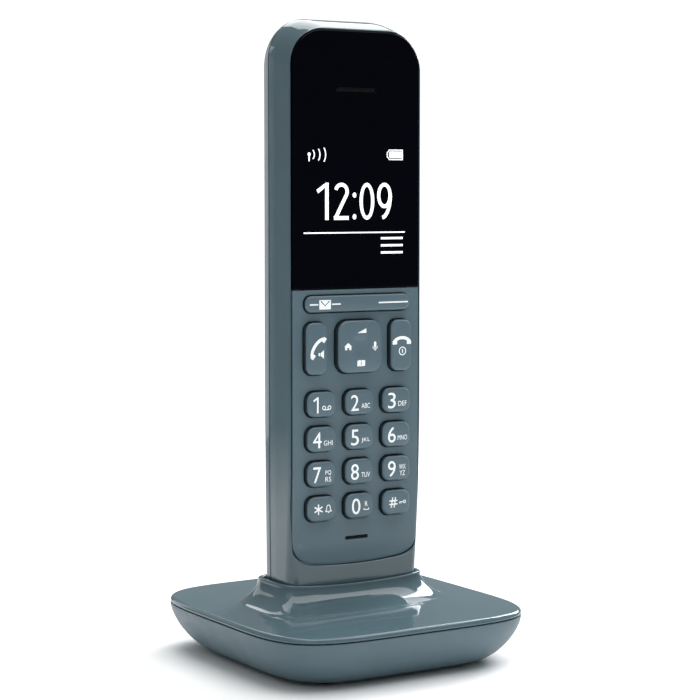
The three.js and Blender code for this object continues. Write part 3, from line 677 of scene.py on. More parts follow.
def rubber(name, colour):
    """Dull rubber with a little dust in its grain."""
    nodes = Nodes(name)
    dust = nodes.ranged(nodes.noise(2.5, 5), 0, 1, 0.45, 0.75)
    tone = nodes.mixed(dust, colour, tinted(colour, 1.7))
    nodes.drive(Base_Color=tone, Roughness=nodes.ranged(nodes.noise(1.2, 3), 0.7, 0.9))
    nodes.bump((nodes.noise(0.35, 3), 0.01))
    nodes.set(Specular_IOR_Level=0.35)
    return nodes.material


SHELL_COLOUR = (0.088, 0.142, 0.167)
SATIN_COLOUR = (0.1, 0.157, 0.188)
PANEL_COLOUR = (0.116, 0.18, 0.216)

GLOSS_SHELL = plastic("gloss_shell", SHELL_COLOUR, 0.06, grain_mm=1.2, grain_depth=0.0003)
SATIN_TRAY = plastic("satin_tray", SATIN_COLOUR, 0.42, grain_mm=0.16, grain_depth=0.004)
SATIN_PANEL = plastic("satin_panel", PANEL_COLOUR, 0.36, grain_mm=0.14, grain_depth=0.003)
# keys and the paging key, with painted shade on their side walls
KEY_PLASTIC_SHADED_WALLS = key_plastic("key_plastic", PANEL_COLOUR)
# near-black: painted shade for the dark inside of the earpiece and microphone slots
SLOT_SHADE_GASKET = rubber("gasket", (0.002, 0.002, 0.0025))
BLACK_PLASTIC = plastic("black_plastic", (0.012, 0.013, 0.014), 0.4, grain_mm=0.2, grain_depth=0.004)
GLASS = display_glass("display_glass")
# the legends' ink glows a little: painted light, as printed ink gives off none
GLOWING_INK = lit_symbol("legend_ink_glow", (0.9, 0.93, 0.94), 0.3)
LIT = lit_symbol("display_lit", (0.95, 0.97, 1.0), 0.9)
RUBBER = rubber("rubber", (0.018, 0.019, 0.02))
MAT_RUBBER = rubber("keypad_rubber", (0.1, 0.11, 0.115))
STEEL = metal("steel", (0.55, 0.56, 0.57), 0.3)
GOLD = metal("contact_gold", (0.83, 0.62, 0.26), 0.22, (1, 1, 6))
TIN = metal("display_metal", (0.62, 0.63, 0.63), 0.38, (8, 1, 1))
BOARD = circuit_board("circuit_board")


# ------------------------------------------------------------------ the base's case

PILOT_RADIUS = 1.4  # holes that case screws pass or bite into

def base_ring(inset, z):
    return plan_ring(PLAN_X - inset, PLAN_Y - inset, PLAN_POWER, z)


def pocket_ring(inset, z, dip=0.0):
    return plan_ring(POCKET["x"] - inset, POCKET["y"] - inset, POCKET["power"], z, POCKET["centre_y"], dip)


def collar_ring(share, rim_z, foot_z, spread=0.0):
    """A ring of the flare: share 0 is its rim and share 1 its foot on the deck."""
    angle = share * FLARE_ARC
    out = (1 - math.cos(angle)) / (1 - math.cos(FLARE_ARC))
    down = math.sin(angle) / math.sin(FLARE_ARC)

    def between(start, end, part=out):
        return start + (end - start) * part

    return plan_ring(
        between(POCKET["x"] + COLLAR_WALL, COLLAR_FOOT["x"]) + spread,
        between(POCKET["y"] + COLLAR_WALL, COLLAR_FOOT["y"]) + spread,
        between(COLLAR_RIM_POWER, COLLAR_FOOT["power"]),
        between(rim_z, foot_z, down),
        between(POCKET["centre_y"], COLLAR_FOOT["centre_y"]),
        FRONT_DIP * (1 - down),
    )


def rim_rings():
    """The rounded top of the collar, from the pocket's wall over to the flare."""
    inner = pocket_ring(0, RIM_Z, FRONT_DIP)
    outer = collar_ring(0, RIM_Z, DECK_Z)
    rings = []
    for share in np.linspace(0, 1, 13)[1:-1]:
        across = share * COLLAR_WALL
        into = max(RIM_ROUND - across, across - COLLAR_WALL + RIM_ROUND, 0)
        fall = RIM_ROUND - math.sqrt(RIM_ROUND**2 - into**2)
        rings.append(inner * (1 - share) + outer * share - [0, 0, fall])
    return rings


def pocket_rings():
    """The pocket, from the middle of its floor up to the collar's rim."""
    floor_z = POCKET["floor_z"]
    rings = [pocket_ring(inset, floor_z + lift) for inset, lift in ((6, 0), (0.8, 0), (0.25, 0.2), (0, 0.8))]
    rings += [pocket_ring(0, z) for z in (14, 18)]
    return [*rings, pocket_ring(0, RIM_Z - RIM_ROUND, FRONT_DIP), *rim_rings()]


def deck_rings(low):
    """The deck, from the collar's foot over its rolled edge and down to the seam."""
    foot = collar_ring(1, RIM_Z, DECK_Z)
    edge = base_ring(DECK_ROLL, EDGE_Z)
    side_z = low + 0.35
    rings = [foot * (1 - share) + edge * share for share in (0.06, 0.2, 0.4, 0.6, 0.8, 0.93)]
    for angle in np.radians(np.linspace(0, 90, 9)):
        level = side_z + (EDGE_Z - side_z) * math.cos(angle)
        rings.append(base_ring(DECK_ROLL * (1 - math.sin(angle)), level))
    return [*rings, base_ring(0, low + 0.2), base_ring(0.06, low + 0.06), base_ring(0.2, low)]


def make_cover():
    """The glossy top cover, with a lip that drops into the tray and bosses for the case screws."""
    low = SEAM_Z + GAP
    under = EDGE_Z - CASE_WALL + GAP
    floor_under = POCKET["floor_z"] - CASE_WALL
    lip_low, lip_outside, lip_inside = low - 1.2, 2.6, 3.2
    boss_radius, pin_hole_radius = 2.8, 2.2
    flare = [collar_ring(share, RIM_Z - RIM_ROUND, DECK_Z) for share in np.linspace(0, 1, 26)]
    rings = [*pocket_rings(), *flare, *deck_rings(low), base_ring(lip_outside, low)]
    rings += [base_ring(lip_outside, lip_low), base_ring(lip_inside, lip_low), base_ring(lip_inside, under)]
    rings += [collar_ring(share, RIM_Z - 5, under, share * 1.5) for share in (1, 0.8, 0.6, 0.4, 0.2, 0)]
    rings += [pocket_ring(-COLLAR_WALL, floor_under), pocket_ring(5, floor_under)]
    cover = new_object("charging_cover", loft(rings))
    carve(cover, turned_at(SCREW_SPOTS, [(boss_radius, 5), (boss_radius, under + 0.4)]), "UNION")
    pilots = turned_at(SCREW_SPOTS, [(PILOT_RADIUS, 4), (PILOT_RADIUS, 11.5)])
    pin_holes = turned_at(PIN_SPOTS, [(pin_hole_radius, 8), (pin_hole_radius, 12)])
    carve(cover, pilots + pin_holes)
    finish_piece(cover, "base", GLOSS_SHELL, ["base_top_cover"])


TRAY_INSET = 9.7  # how far the tray draws in from its seam to its floor
TRAY_BOWL = 1.54  # power of the bowl's curve: 2 is a quarter ellipse


def tray_side(wall, top_z, steps):
    """The tray's side from its floor up to its top edge."""
    floor_z = TRAY_LOW[2] + wall
    rings = []
    for step in range(steps, -1, -1):
        angle = step / steps * math.pi / 2
        inward = 1 - math.cos(angle) ** (2 / TRAY_BOWL)
        up = 1 - math.sin(angle) ** (2 / TRAY_BOWL)
        rings.append(base_ring(wall + (TRAY_INSET - wall / 4) * inward, floor_z + (top_z - floor_z) * up))
    return rings


def make_tray():
    """The satin bowl under the cover: screw posts, sunken feet, and openings at the back."""
    floor_z = TRAY_LOW[2]
    outside = tray_side(0, SEAM_Z - 0.2, 30)
    inside = tray_side(CASE_WALL, SEAM_Z, 12)
    floor = [base_ring(inset, floor_z) for inset in (30, 20, 13)]
    inner_floor = [base_ring(inset, floor_z + CASE_WALL) for inset in (14, 30)]
    lip = [base_ring(0.06, SEAM_Z - 0.06), base_ring(0.2, SEAM_Z)]
    tray = new_object("base_tray", loft([*floor, *outside, *lip, *inside[::-1], *inner_floor]))
    posts = turned_at(SCREW_SPOTS, [(3.4, floor_z + 0.4), (3.4, 4.6)])
    head_recesses = turned_at(SCREW_SPOTS, [(2.9, 0), (2.6, 1.1), (2.6, 2.6)])
    foot_recesses = turned_at(FOOT_SPOTS, [(4.7, 0), (4.5, 1), (4.5, 1.6)])
    carve(tray, posts, "UNION")
    carve(tray, head_recesses)
    holes = turned_at(SCREW_SPOTS, [(PILOT_RADIUS, 1), (PILOT_RADIUS, 6)]) + foot_recesses
    holes += [jack_window(node) for node in ("line_jack", "power_jack")]
    carve(tray, [*holes, page_opening()])
    finish_piece(tray, "base", SATIN_TRAY, ["base_bottom_tray"])


BACK_WALL_Y = 35, 46  # depths between which the tray's back wall is cut through
PAGE_FLANGE = 1.0


def jack_window(node):
    """A cutter for the tray's back wall, a gap larger than a jack."""
    low, high = span(node)
    low, high = low - GAP, high + GAP
    low[1], high[1] = BACK_WALL_Y
    return block(low, high, 0.5)


def page_opening():
    """A cutter for the paging key's hole in the tray's back wall."""
    low, high = span("paging_key")
    half = (high - low) / 2 - PAGE_FLANGE + 0.35
    loop = rounded_loop(front_centre("paging_key"), half[0], half[2], half[2] - 0.05, 9)
    return loft([upright_at(loop, y) for y in (BACK_WALL_Y[0] + 1, BACK_WALL_Y[1])])


def make_jacks():
    """Two modular sockets: a mouth with a latch notch, and spring wires along its floor."""
    depth, pitch, wire = 11.5, 1.27, 0.22
    for node in ("line_jack", "power_jack"):
        low, high = span(node)
        x = centre_of(node)[0]
        socket = new_object(node + "_body", block(low, high, 0.3))
        for half, z_low, z_high in ((4.85, low[2] + 0.7, 10.9), (1.6, 10.5, 11.9)):
            carve(socket, [block((x - half, high[1] - depth, z_low), (x + half, high[1] + 1, z_high), 0.2)])
        finish_piece(socket, "base", BLACK_PLASTIC, [node])
        wires = []
        for column in range(4):
            rings = []
            for share in np.linspace(0, 1, 12):
                centre = (x + (column - 1.5) * pitch, low[2] + 1.1 + 2.6 * share**1.4)
                rings.append(disc_ring(centre, wire, high[1] - 1.5 - 9 * share, 8, "y"))
            wires.append(loft(rings))
        contacts = new_object(node + "_wires", merge(wires))
        finish_piece(contacts, "base", GOLD)


# ------------------------------------------------------------------ small turned and pressed pieces


def make_feet():
    for i, spot in enumerate(FOOT_SPOTS, 1):
        low, high = span(f"foot_{i}")
        radius = (high[0] - low[0]) / 2
        profile = [(radius * 0.3, 0.0), (radius - 0.5, 0.0), (radius - 0.2, 0.1), (radius, 0.4)]
        foot = new_object(f"rubber_foot_{i}", turned(spot, [*profile, (radius, high[2])], 56))
        finish_piece(foot, "base", RUBBER, [f"foot_{i}"])


def cross_slot(centre, level, depth, reach, axis):
    """Two crossed slots with tapering ends, for a cross-head screw."""
    tools = []
    for half_a, half_b in ((reach, 0.3), (0.3, reach)):
        rings = []
        for scale, place in ((1.15, level), (0.45, level + depth)):
            loop = rounded_loop(centre, half_a * scale, half_b * max(scale, 0.8), 0.12, 3)
            flat = np.column_stack([loop, np.full(len(loop), place)])
            rings.append(upright_at(loop, place) if axis == "y" else flat)
        tools.append(loft(rings))
    return tools


def make_screw(name, node, body, centre, profile, slot, axis):
    """A turned screw with a cross slot. The slot is its mouth's level, its depth and its reach."""
    screw = new_object(name, turned(centre, profile, 36, axis))
    for tool in cross_slot(centre, *slot, axis):
        carve(screw, [tool])
    finish_piece(screw, body, STEEL, [node], 30)


def make_base_screws():
    for i, spot in enumerate(SCREW_SPOTS, 1):
        node = f"base_screw_{i}"
        (_, _, low), (_, _, high) = span(node)
        head = [(1.2, low), (1.9, low + 0.15), (2.2, low + 0.55), (2.2, low + 1.3)]
        shank = [(1.1, low + 1.3), (1.1, high - 0.8), (0.3, high)]
        make_screw(f"case_screw_{i}", node, "base", spot, head + shank, (low - 0.1, 1.0, 1.3), "z")


def make_handset_screws():
    for i, spot in enumerate(SHELL_SCREW_SPOTS, 1):
        node = f"handset_screw_{i}"
        (_, low, _), (_, high, _) = span(node)
        seat = high - 1.3
        shank = [(0.4, low), (1.1, low + 0.8), (1.1, seat), (2.0, seat)]
        head = [(2.0, high - 0.45), (1.7, high - 0.1), (1.1, high)]
        make_screw(f"shell_screw_{i}", node, "handset", spot, shank + head, (high + 0.1, -0.9, 1.2), "y")


def coil(x, y, low, high, turns=2.5, radius=0.95, wire=0.13):
    """A coil spring of round wire, standing between two heights."""
    rings = []
    for share in np.linspace(0, 1, 91):
        angle = share * turns * 2 * math.pi
        out = np.array([math.cos(angle), math.sin(angle), 0])
        centre = radius * out + [x, y, low + wire + (high - low - 2 * wire) * share]
        around = np.radians(np.arange(0, 360, 45))[:, None]
        rings.append(centre + wire * (np.cos(around) * out + np.sin(around) * [0, 0, 1]))
    return loft(rings)


def make_pins():
    """Sprung charging pins: a barrel on the board, a coil in it and a round-nosed plunger."""
    radius, nose = 1.1, 0.9
    for side, (x, y) in zip(("left", "right"), PIN_SPOTS):
        node = f"charge_pin_{side}"
        low, high = span(node)
        profile = [(0.5, low[2]), (radius, low[2] + 0.1)]
        for angle in np.radians((0, 25, 50, 70, 84)):
            profile.append((radius * math.cos(angle), high[2] - nose * (1 - math.sin(angle))))
        pin = new_object(f"plunger_{side}", turned((x, y), profile, 40))
        finish_piece(pin, node, GOLD, [node])
        (_, _, coil_low), (_, _, coil_high) = span(f"charge_spring_{side}")
        spring = new_object(f"pin_spring_{side}", coil(x, y, coil_low, coil_high))
        finish_piece(spring, "base", STEEL, [f"charge_spring_{side}"])
        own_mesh(spring)


# ------------------------------------------------------------------ the handset's shells

LEDGE_Y = (PANEL_BACK + GAP, -5.1)  # front and back of the ledge that the panels lie on
LEDGE_OPENING = (18.2, 40, 172, 1.5, 8)  # half width, low, high and the lower and upper corners' radii
SEAM_EDGE = 0.1  # rounding where the two shells meet
SEAM_HALF = GAP * 0.7  # each shell stops this far from the parting line
CONTACT_X = 9  # the charging contacts, in windows in the lower end


def front_strip(outer, inner):
    """Rings over the rounded front edge and across the flat front, from the outline to the groove."""
    start = upright_at(outer, CASE_FRONT + EDGE_RADIUS)[:, [0, 2]]
    reach = inner - start
    length = np.linalg.norm(reach, axis=1)
    inward = reach / length[:, None]
    radius = edge_radius(start[:, 1])
    first = np.arcsin(clamp(1 - EDGE_RADIUS / radius, 0, 1))
    furthest = np.minimum(radius * np.cos(first), 0.85 * length)
    last = np.arccos(clamp(np.cos(first) - furthest / radius, 0, 1))
    places = []
    for share in np.linspace(0, 1, 10)[1:]:
        angle = first + (last - first) * share
        places.append(radius * (np.cos(first) - np.cos(angle)))
    for share in np.linspace(0, 1, 8)[1:]:
        places.append(furthest + (length - furthest) * share)
    rings = []
    for place in places:
        spot = start + inward * place[:, None]
        rings.append(upright_at(spot, front_depth(spot[:, 0], spot[:, 1])))
    return rings


# A tongue round the front shell's edge reaches inside the back shell's, so no light passes the parting line.
TONGUE = {"top": PART_Y + 0.7, "outside": 0.85, "socket": 0.55, "end": PART_Y + 1.0}


def make_front_shell():
    """The front shell: a frame round window and keypad, with the ledge they lie on and a thin wall."""
    part = PART_Y - SEAM_HALF
    depths = [part - SEAM_EDGE, 3.4, 2.2, 1.5, CREASE_Y + 0.15, CREASE_Y - 0.1, 0.5, -1, -2.4]
    depths += [-3.2, -3.8, -4.3, -4.8, -5.2, -5.6, -6.0, -6.3]
    groove = panel_loop(GROOVE, WINDOW_HIGH[2] + GROOVE, PANEL_CORNER + GROOVE)
    groove_depth = front_depth(groove[:, 0], groove[:, 1])
    outline = case_loop(CASE_FRONT + EDGE_RADIUS)
    opening = frame_loop(*LEDGE_OPENING)
    rings = [upright_at(case_loop(part, SEAM_EDGE), part)]
    rings += [upright_at(case_loop(y), y) for y in depths]
    rings.append(upright_at(outline, CASE_FRONT + EDGE_RADIUS))
    rings += front_strip(outline, drawn_in(groove, -SEAM_EDGE))
    rings += [upright_at(groove, groove_depth + SEAM_EDGE), upright_at(groove, LEDGE_Y[0])]
    rings += [upright_at(opening, y) for y in LEDGE_Y]
    rings += [upright_at(case_loop(y, WALL), y) for y in (LEDGE_Y[1], -3, 0, 2.5, TONGUE["top"])]
    rings += [upright_at(case_loop(y, TONGUE["outside"]), y) for y in (TONGUE["top"], part)]
    shell = new_object("handset_front", loft(rings, wrap=True))
    windows = []
    for x in (-CONTACT_X, CONTACT_X):
        windows.append(block((x - 3, -2, CASE_LOW - 1), (x + 3, 2, CASE_LOW + 2), 0.3))
    carve(shell, windows)
    finish_piece(shell, "handset", GLOSS_SHELL, ["front_shell"])


BAY = (11.3, 61, 111, 1)  # half width, low, high and corner radius of the battery bay
BAY_OUTSIDE = (12.1, 60.2, 111.8, 1.5)
SEAT_OUTSIDE = (19.4, 29, 122, 4.5)
BAY_FLOOR_Y = -2.5
SEAT_Y = (7.5, 8.4)  # the ledge under the battery door, inside and outside


def even_frame(half_x, low, high, radius):
    return frame_loop(half_x, low, high, radius, radius)


def back_strip(outline, mouth):
    """Rings across the back, easing from the edge's level depth to the crowned form at the door's hole."""
    rings = []
    for share in np.linspace(0, 1, 12)[1:]:
        spot = outline * (1 - share) + mouth * share
        rise = clamp(share * 4)
        blend = rise**2 * (3 - 2 * rise)
        wanted = back_depth(spot[:, 0], spot[:, 1])
        rings.append(upright_at(spot, BACK_FLAT_Y * (1 - blend) + wanted * blend))
    return rings


def make_back_shell():
    """The back shell, with the battery door's seat and the cells' bay let into it."""
    part = PART_Y + SEAM_HALF
    inside, outside = SEAT_Y
    depths = [part + SEAM_EDGE, 5.1, 5.7, 6.3, 6.9, 7.4, 7.9, 8.3, 8.7]
    depths += [9.0, 9.3, 9.55, 9.8, 10.05, BACK_FLAT_Y]
    hole = even_frame(*DOOR_HOLE.values())
    bay = even_frame(*BAY)
    bay_outside = even_frame(*BAY_OUTSIDE)
    seat_outside = even_frame(*SEAT_OUTSIDE)
    rings = [upright_at(bay_outside, BAY_FLOOR_Y), upright_at(bay_outside, inside)]
    rings += [upright_at(seat_outside, inside), upright_at(seat_outside, 9.2)]
    rings += [upright_at(case_loop(y, WALL, True), y) for y in (9.2, 8.4, 7.5, 6.4, TONGUE["end"])]
    rings += [upright_at(case_loop(y, TONGUE["socket"], True), y) for y in (TONGUE["end"], part)]
    rings.append(upright_at(case_loop(part, SEAM_EDGE, True), part))
    rings += [upright_at(case_loop(y, 0, True), y) for y in depths]
    rings += back_strip(case_loop(BACK_FLAT_Y, for_door=True), drawn_in(hole, -0.12))
    rings += [upright_at(hole, back_depth(hole[:, 0], hole[:, 1]) - 0.12), upright_at(hole, outside)]
    rings += [upright_at(drawn_in(bay, -0.3), outside), upright_at(bay, outside - 0.3)]
    rings.append(upright_at(bay, BAY_FLOOR_Y + 0.8))
    shell = new_object("handset_back", loft(rings))
    carve(shell, turned_at(SHELL_SCREW_SPOTS, [(3.1, 5), (3.1, 8)], 40, "y"), "UNION")
    recesses = turned_at(SHELL_SCREW_SPOTS, [(2.3, 6.4), (2.3, 8.2), (2.6, 8.6)], 40, "y")
    carve(shell, recesses + grille_cutters())
    carve(shell, turned_at(SHELL_SCREW_SPOTS, [(PILOT_RADIUS, 4), (PILOT_RADIUS, 7)], 24, "y"))
    finish_piece(shell, "handset", GLOSS_SHELL, ["back_shell"])


def grille_cutters():
    """Upright slots in front of the loudspeaker, longest in the middle, with softened mouths."""
    centre_z = centre_of("loudspeaker")[2]
    pitch, reach, half_x = 2.6, 7.5, 0.6
    mouth = [(0, 8 - CASE_BACK), (0, -0.35), (0.08, -0.12), (0.3, 0), (0.6, 0.5)]
    tools = []
    for x in pitch * np.arange(-2, 3):
        half_z = math.sqrt(reach**2 - x**2)
        rings = []
        for grow, behind in mouth:
            loop = rounded_loop((x, centre_z), half_x + grow, half_z + grow, half_x - 0.01 + grow, 8)
            rings.append(upright_at(loop, CASE_BACK + behind))
        tools.append(loft(rings))
    return tools


def make_door():
    """The battery door: a crowned plate that carries on the back's form."""
    steps = [0.0, 0.03, 0.12, 0.5, 1.2, 2.2, 3.4, 5, 7, 9, 11, 13, 15, 17]
    softened = 0.12

    def ring(inset, lift):
        corner = max(DOOR_HOLE["radius"] - GAP - inset * 0.75, 0.3)
        loop = even_frame(DOOR_HIGH[0] - inset, DOOR_LOW[2] + inset, DOOR_HIGH[2] - inset, corner)
        return upright_at(loop, back_depth(loop[:, 0], loop[:, 1]) + lift)

    rings = [ring(inset, -WALL) for inset in steps[::-1]]
    rings += [ring(inset, -max(0, softened - inset)) for inset in steps]
    door = new_object("battery_cover", loft(rings))
    finish_piece(door, "battery_door", GLOSS_SHELL, ["battery_door"])


# ------------------------------------------------------------------ window, keypad panel and keys

DIGIT_KEYS = [f"key_{mark}" for mark in ("star", "0", "hash", *"789456123")]
KEY_RADII = {"key_call": 2.4, "key_hang_up": 2.4, "key_navigation": 3.4, "key_softkeys": 2.2}
ALL_KEYS = [*DIGIT_KEYS, *KEY_RADII]
KEY_BODIES = {"key_softkeys": "softkeys", "key_navigation": "navigation_key"}  # the rocking keys
DIGIT_RADIUS = 2.6
KEY_FLANGE = 0.4  # how far the flange reaches out behind the panel
KEY_GAP = 0.25  # round each key in its hole


def key_shape(name):
    """Centre, half sizes and corner radius of a key's cap, seen from the front."""
    low, high = span(name)
    half_x, _, half_z = (high - low) / 2 - KEY_FLANGE
    return front_centre(name), (half_x, half_z), KEY_RADII.get(name, DIGIT_RADIUS)


def key_top(name, x, z):
    """Depth of a key's domed top. The navigation key also has a dish in its middle."""
    (cx, cz), (half_x, half_z), _ = key_shape(name)
    across, up = (x - cx) / half_x, (z - cz) / half_z
    dome = KEY_DOME * (1 - across**2) * (1 - up**2)
    dish = 0.0
    if name == "key_navigation":
        dome *= 3
        dish = 0.4 * np.exp(-(((x - cx) / 2.5) ** 4 + ((z - cz) / 2.8) ** 4))
    return span(name)[0][1] - dome + dish


def make_window():
    """The display window, with softened edges and the earpiece's slot through it."""
    counts = dict(COUNTS, bottom=16, arch=28, side=40)
    outline = frame_loop(PANEL_X, WINDOW_LOW[2], WINDOW_HIGH[2], PANEL_CUT, PANEL_CORNER, counts)
    half_x, half_z, radius = EARPIECE_SLOT
    slot_z = centre_of("earpiece")[2]
    slot = frame_loop(half_x, slot_z - half_z, slot_z + half_z, radius, radius, counts)
    edge = [(0.0, 0.3), (0.03, 0.16), (0.1, 0.06), (0.24, 0.0)]
    rings = [upright_at(outline, PANEL_BACK)]
    rings += [upright_at(drawn_in(outline, inset), PANEL_Y + fall) for inset, fall in edge]
    rings += [upright_at(drawn_in(slot, -0.08), PANEL_Y), upright_at(slot, PANEL_Y + 0.08)]
    rings.append(upright_at(slot, PANEL_BACK))
    window = new_object("display_cover", loft(rings, wrap=True))
    finish_piece(window, "handset", GLASS, ["display_window"])


def key_cutter(centre, half_x, half_z, radius, soften=0.22):
    """A hole through the panel with a rounded mouth."""
    levels = [(0, -5), (0, PANEL_Y + soften)]
    levels += [(grow, PANEL_Y + fall) for grow, fall in quarter(soften, (22.5, 45, 67.5, 90))]
    levels += [(soften * 1.6, PANEL_Y - 0.02), (soften * 1.6, PANEL_Y - 1)]
    rings = []
    for grow, y in levels:
        rings.append(upright_at(rounded_loop(centre, half_x + grow, half_z + grow, radius + grow, 8), y))
    return loft(rings)


def panel_depth(x, z):
    """Depth of the keypad panel's face, which leans back a little below the microphone."""
    below = PANEL_BEND_Z - z
    bend = PANEL_BEND * (below + np.sqrt(below**2 + 0.5)) / 2
    return front_depth(x, z) + PANEL_Y - CASE_FRONT + bend


def make_panel():
    """The keypad's panel, with a hole for each key and the microphone's slot."""
    counts = dict(COUNTS, side=30, arch=6, corner=6, low_side=20, bottom=16)
    outline = panel_loop(0, PANEL_HIGH[2], PANEL_CUT, counts)
    field = frame_loop(19, 39, 104, 2, 1, counts)
    edge = [(0.0, 0.25), (0.03, 0.13), (0.1, 0.04), (0.2, 0.0)]
    rings = [upright_at(outline, PANEL_BACK)]
    for inset, fall in edge:
        loop = drawn_in(outline, inset)
        rings.append(upright_at(loop, panel_depth(loop[:, 0], loop[:, 1]) + fall))
    start = drawn_in(outline, edge[-1][0])
    for share in np.linspace(0, 1, 14)[1:]:
        spot = start * (1 - share) + field * share
        rings.append(upright_at(spot, panel_depth(spot[:, 0], spot[:, 1])))
    panel = new_object("keypad_face", loft(rings))
    tools = []
    for name in ALL_KEYS:
        centre, (half_x, half_z), radius = key_shape(name)
        tools.append(key_cutter(centre, half_x + KEY_GAP, half_z + KEY_GAP, radius + KEY_GAP))
    tools.append(key_cutter((0, centre_of("microphone")[2]), *MICROPHONE_SLOT, 0.1))
    carve(panel, tools)
    finish_piece(panel, "handset", SATIN_PANEL, ["keypad_panel"])


def make_key(name, body):
    """A key's cap: a flange behind the panel, upright walls, rounded edges and a domed top."""
    low, high = span(name)
    centre, (half_x, half_z), radius = key_shape(name)
    flange_y = high[1] - (0.25 if name in KEY_BODIES else 0.5)

    def ring(grow, y):
        return upright_at(rounded_loop(centre, half_x + grow, half_z + grow, max(radius + grow, 0.3), 9), y)

    rings = [ring(-1.2, high[1]), ring(KEY_FLANGE, high[1]), ring(KEY_FLANGE, flange_y), ring(0, flange_y)]
    rings.append(ring(0, low[1] + KEY_EDGE))
    rings += [ring(-inset, low[1] + fall) for inset, fall in quarter(KEY_EDGE, range(15, 91, 15))]
    rim = ring(-KEY_EDGE, low[1])[:, [0, 2]]
    for share in np.linspace(0, 1, 17)[1:-1]:
        spot = rim * (1 - share) + np.array(centre) * share
        rings.append(upright_at(spot, key_top(name, spot[:, 0], spot[:, 1])))
    key = new_object(name + "_cap", loft(rings))
    finish_piece(key, body, KEY_PLASTIC_SHADED_WALLS, [name])


# ------------------------------------------------------------------ legends and display symbols


def ribbon(points, width):
    """Outline of a stroke of even width along a line of points."""
    points = np.asarray(points, float)
    tangent = np.gradient(points, axis=0)
    tangent /= np.linalg.norm(tangent, axis=1)[:, None]
    side = np.column_stack([-tangent[:, 1], tangent[:, 0]]) * width / 2
    return np.concatenate([points + side, (points - side)[::-1]])


def sweep(cx, cz, rx, rz, start, end, count=24):
    angles = np.radians(np.linspace(start, end, count))
    return np.column_stack([cx + rx * np.cos(angles), cz + rz * np.sin(angles)])


def bar(start, end, width):
    return ribbon([start, end], width)


def hoop(cx, cz, rx, rz, width):
    """Two loops that leave a ring between them."""
    return [sweep(cx, cz, rx + half, rz + half, 0, 352, 45) for half in (width / 2, -width / 2)]


def plate(cx, cz, *corners):
    """A filled shape from its corners' places round a middle."""
    return np.array(corners) + [cx, cz]


def curve_mesh(shapes):
    """Flat shapes as thin closed plates. A shape is a loop, or a list of a loop and its holes."""
    parts = []
    for shape in shapes:
        loops = shape if isinstance(shape, list) else [shape]
        data = bpy.data.curves.new("ink", "CURVE")
        data.dimensions = "2D"
        data.fill_mode = "BOTH"
        data.extrude = 1.0
        for loop in loops:
            spline = data.splines.new("POLY")
            spline.points.add(len(loop) - 1)
            spline.use_cyclic_u = True
            for point, (x, z) in zip(spline.points, loop):
                point.co = (x, z, 0, 1)
        parts.append(as_part(data))
    return parts


def text_mesh(text, centre, width, height):
    """Generic figures or letters, fitted to a box."""
    data = bpy.data.curves.new("ink", "FONT")
    data.body = text
    data.extrude = 1.0
    data.resolution_u = 5
    points, faces = as_part(data)
    low, high = points.min(0), points.max(0)
    scale = np.array([width, height, 2]) / (high - low)
    return (points - (low + high) / 2) * scale + [*centre, 0], faces


def as_part(data):
    """A curve's filled mesh as points and faces, its thickness from -1 to 1."""
    obj = bpy.data.objects.new("ink", data)
    bpy.context.scene.collection.objects.link(obj)
    graph = bpy.context.evaluated_depsgraph_get()
    mesh = bpy.data.meshes.new_from_object(obj.evaluated_get(graph))
    bpy.data.objects.remove(obj)
    reworked(mesh, lambda made: bmesh.ops.remove_doubles(made, verts=made.verts, dist=1e-5))
    return taken_apart(mesh)


def divided(part, pitch=0.8):
    """The same faces cut along an even grid, so that they can follow a curved surface."""
    points, faces = part

    def cut(made):
        for axis in (0, 1):
            normal = np.eye(3)[axis]
            for level in np.arange(points[:, axis].min() + pitch / 2, points[:, axis].max(), pitch):
                everything = [*made.verts, *made.edges, *made.faces]
                place = normal * level
                bmesh.ops.bisect_plane(made, geom=everything, plane_co=place, plane_no=normal, dist=1e-5)

    return taken_apart(reworked(new_mesh("divided", points, faces), cut))


def print_on(name, parts, depth_at, body, material, proud=0.02):
    """Lays flat shapes on a surface whose depth depth_at gives."""
    points, faces = divided(merge(parts))
    surface = depth_at(points[:, 0], points[:, 1])
    depth = surface - np.where(points[:, 2] > 0, proud, -proud)
    made = new_object(name, (np.column_stack([points[:, 0], depth, points[:, 1]]), faces))
    finish_piece(made, body, material)


def figure_one(x, z, height, stroke):
    """A figure one with a flag: x is its stem's middle and z its middle height."""
    half, tall, flag = stroke / 2, height / 2, height * 0.27
    drop = tall - flag * 0.72
    return plate(
        x,
        z,
        (half, -tall),
        (half, tall),
        (-half * 0.6, tall),
        (-half - flag, drop),
        (-half - flag * 0.8, drop - stroke * 0.85),
        (-half, tall - stroke * 1.15),
        (-half, -tall),
    )


FIGURE_HEIGHT = 4.55
FIGURE_STROKE = 0.52
LETTER_HEIGHT = 1.42
THIN = 0.24  # stroke of the small symbols
KEY_LETTERS = {
    "key_2": "ABC",
    "key_3": "DEF",
    "key_4": "GHI",
    "key_5": "JKL",
    "key_6": "MNO",
    "key_7": "PQ/RS",
    "key_8": "TUV",
    "key_9": "WX/YZ",
}


def digit_parts(name):
    """A large figure at the left of a key and small letters at its right, in one row or two."""
    cx, cz = front_centre(name)
    figure = name[-1]
    width = 2.8 if figure == "4" else 2.6
    parts = [text_mesh(figure, (cx - 1.75, cz - 0.1), width, FIGURE_HEIGHT)]
    rows = KEY_LETTERS[name].split("/")
    for row, text in enumerate(rows):
        z = cz - 1.05 if len(rows) == 1 else cz + 0.35 - 1.85 * row
        width = 0.98 * len(text) + (0.35 if "W" in text or "M" in text else 0)
        parts.append(text_mesh(text, (cx + 1.9, z), width, LETTER_HEIGHT))
    return parts


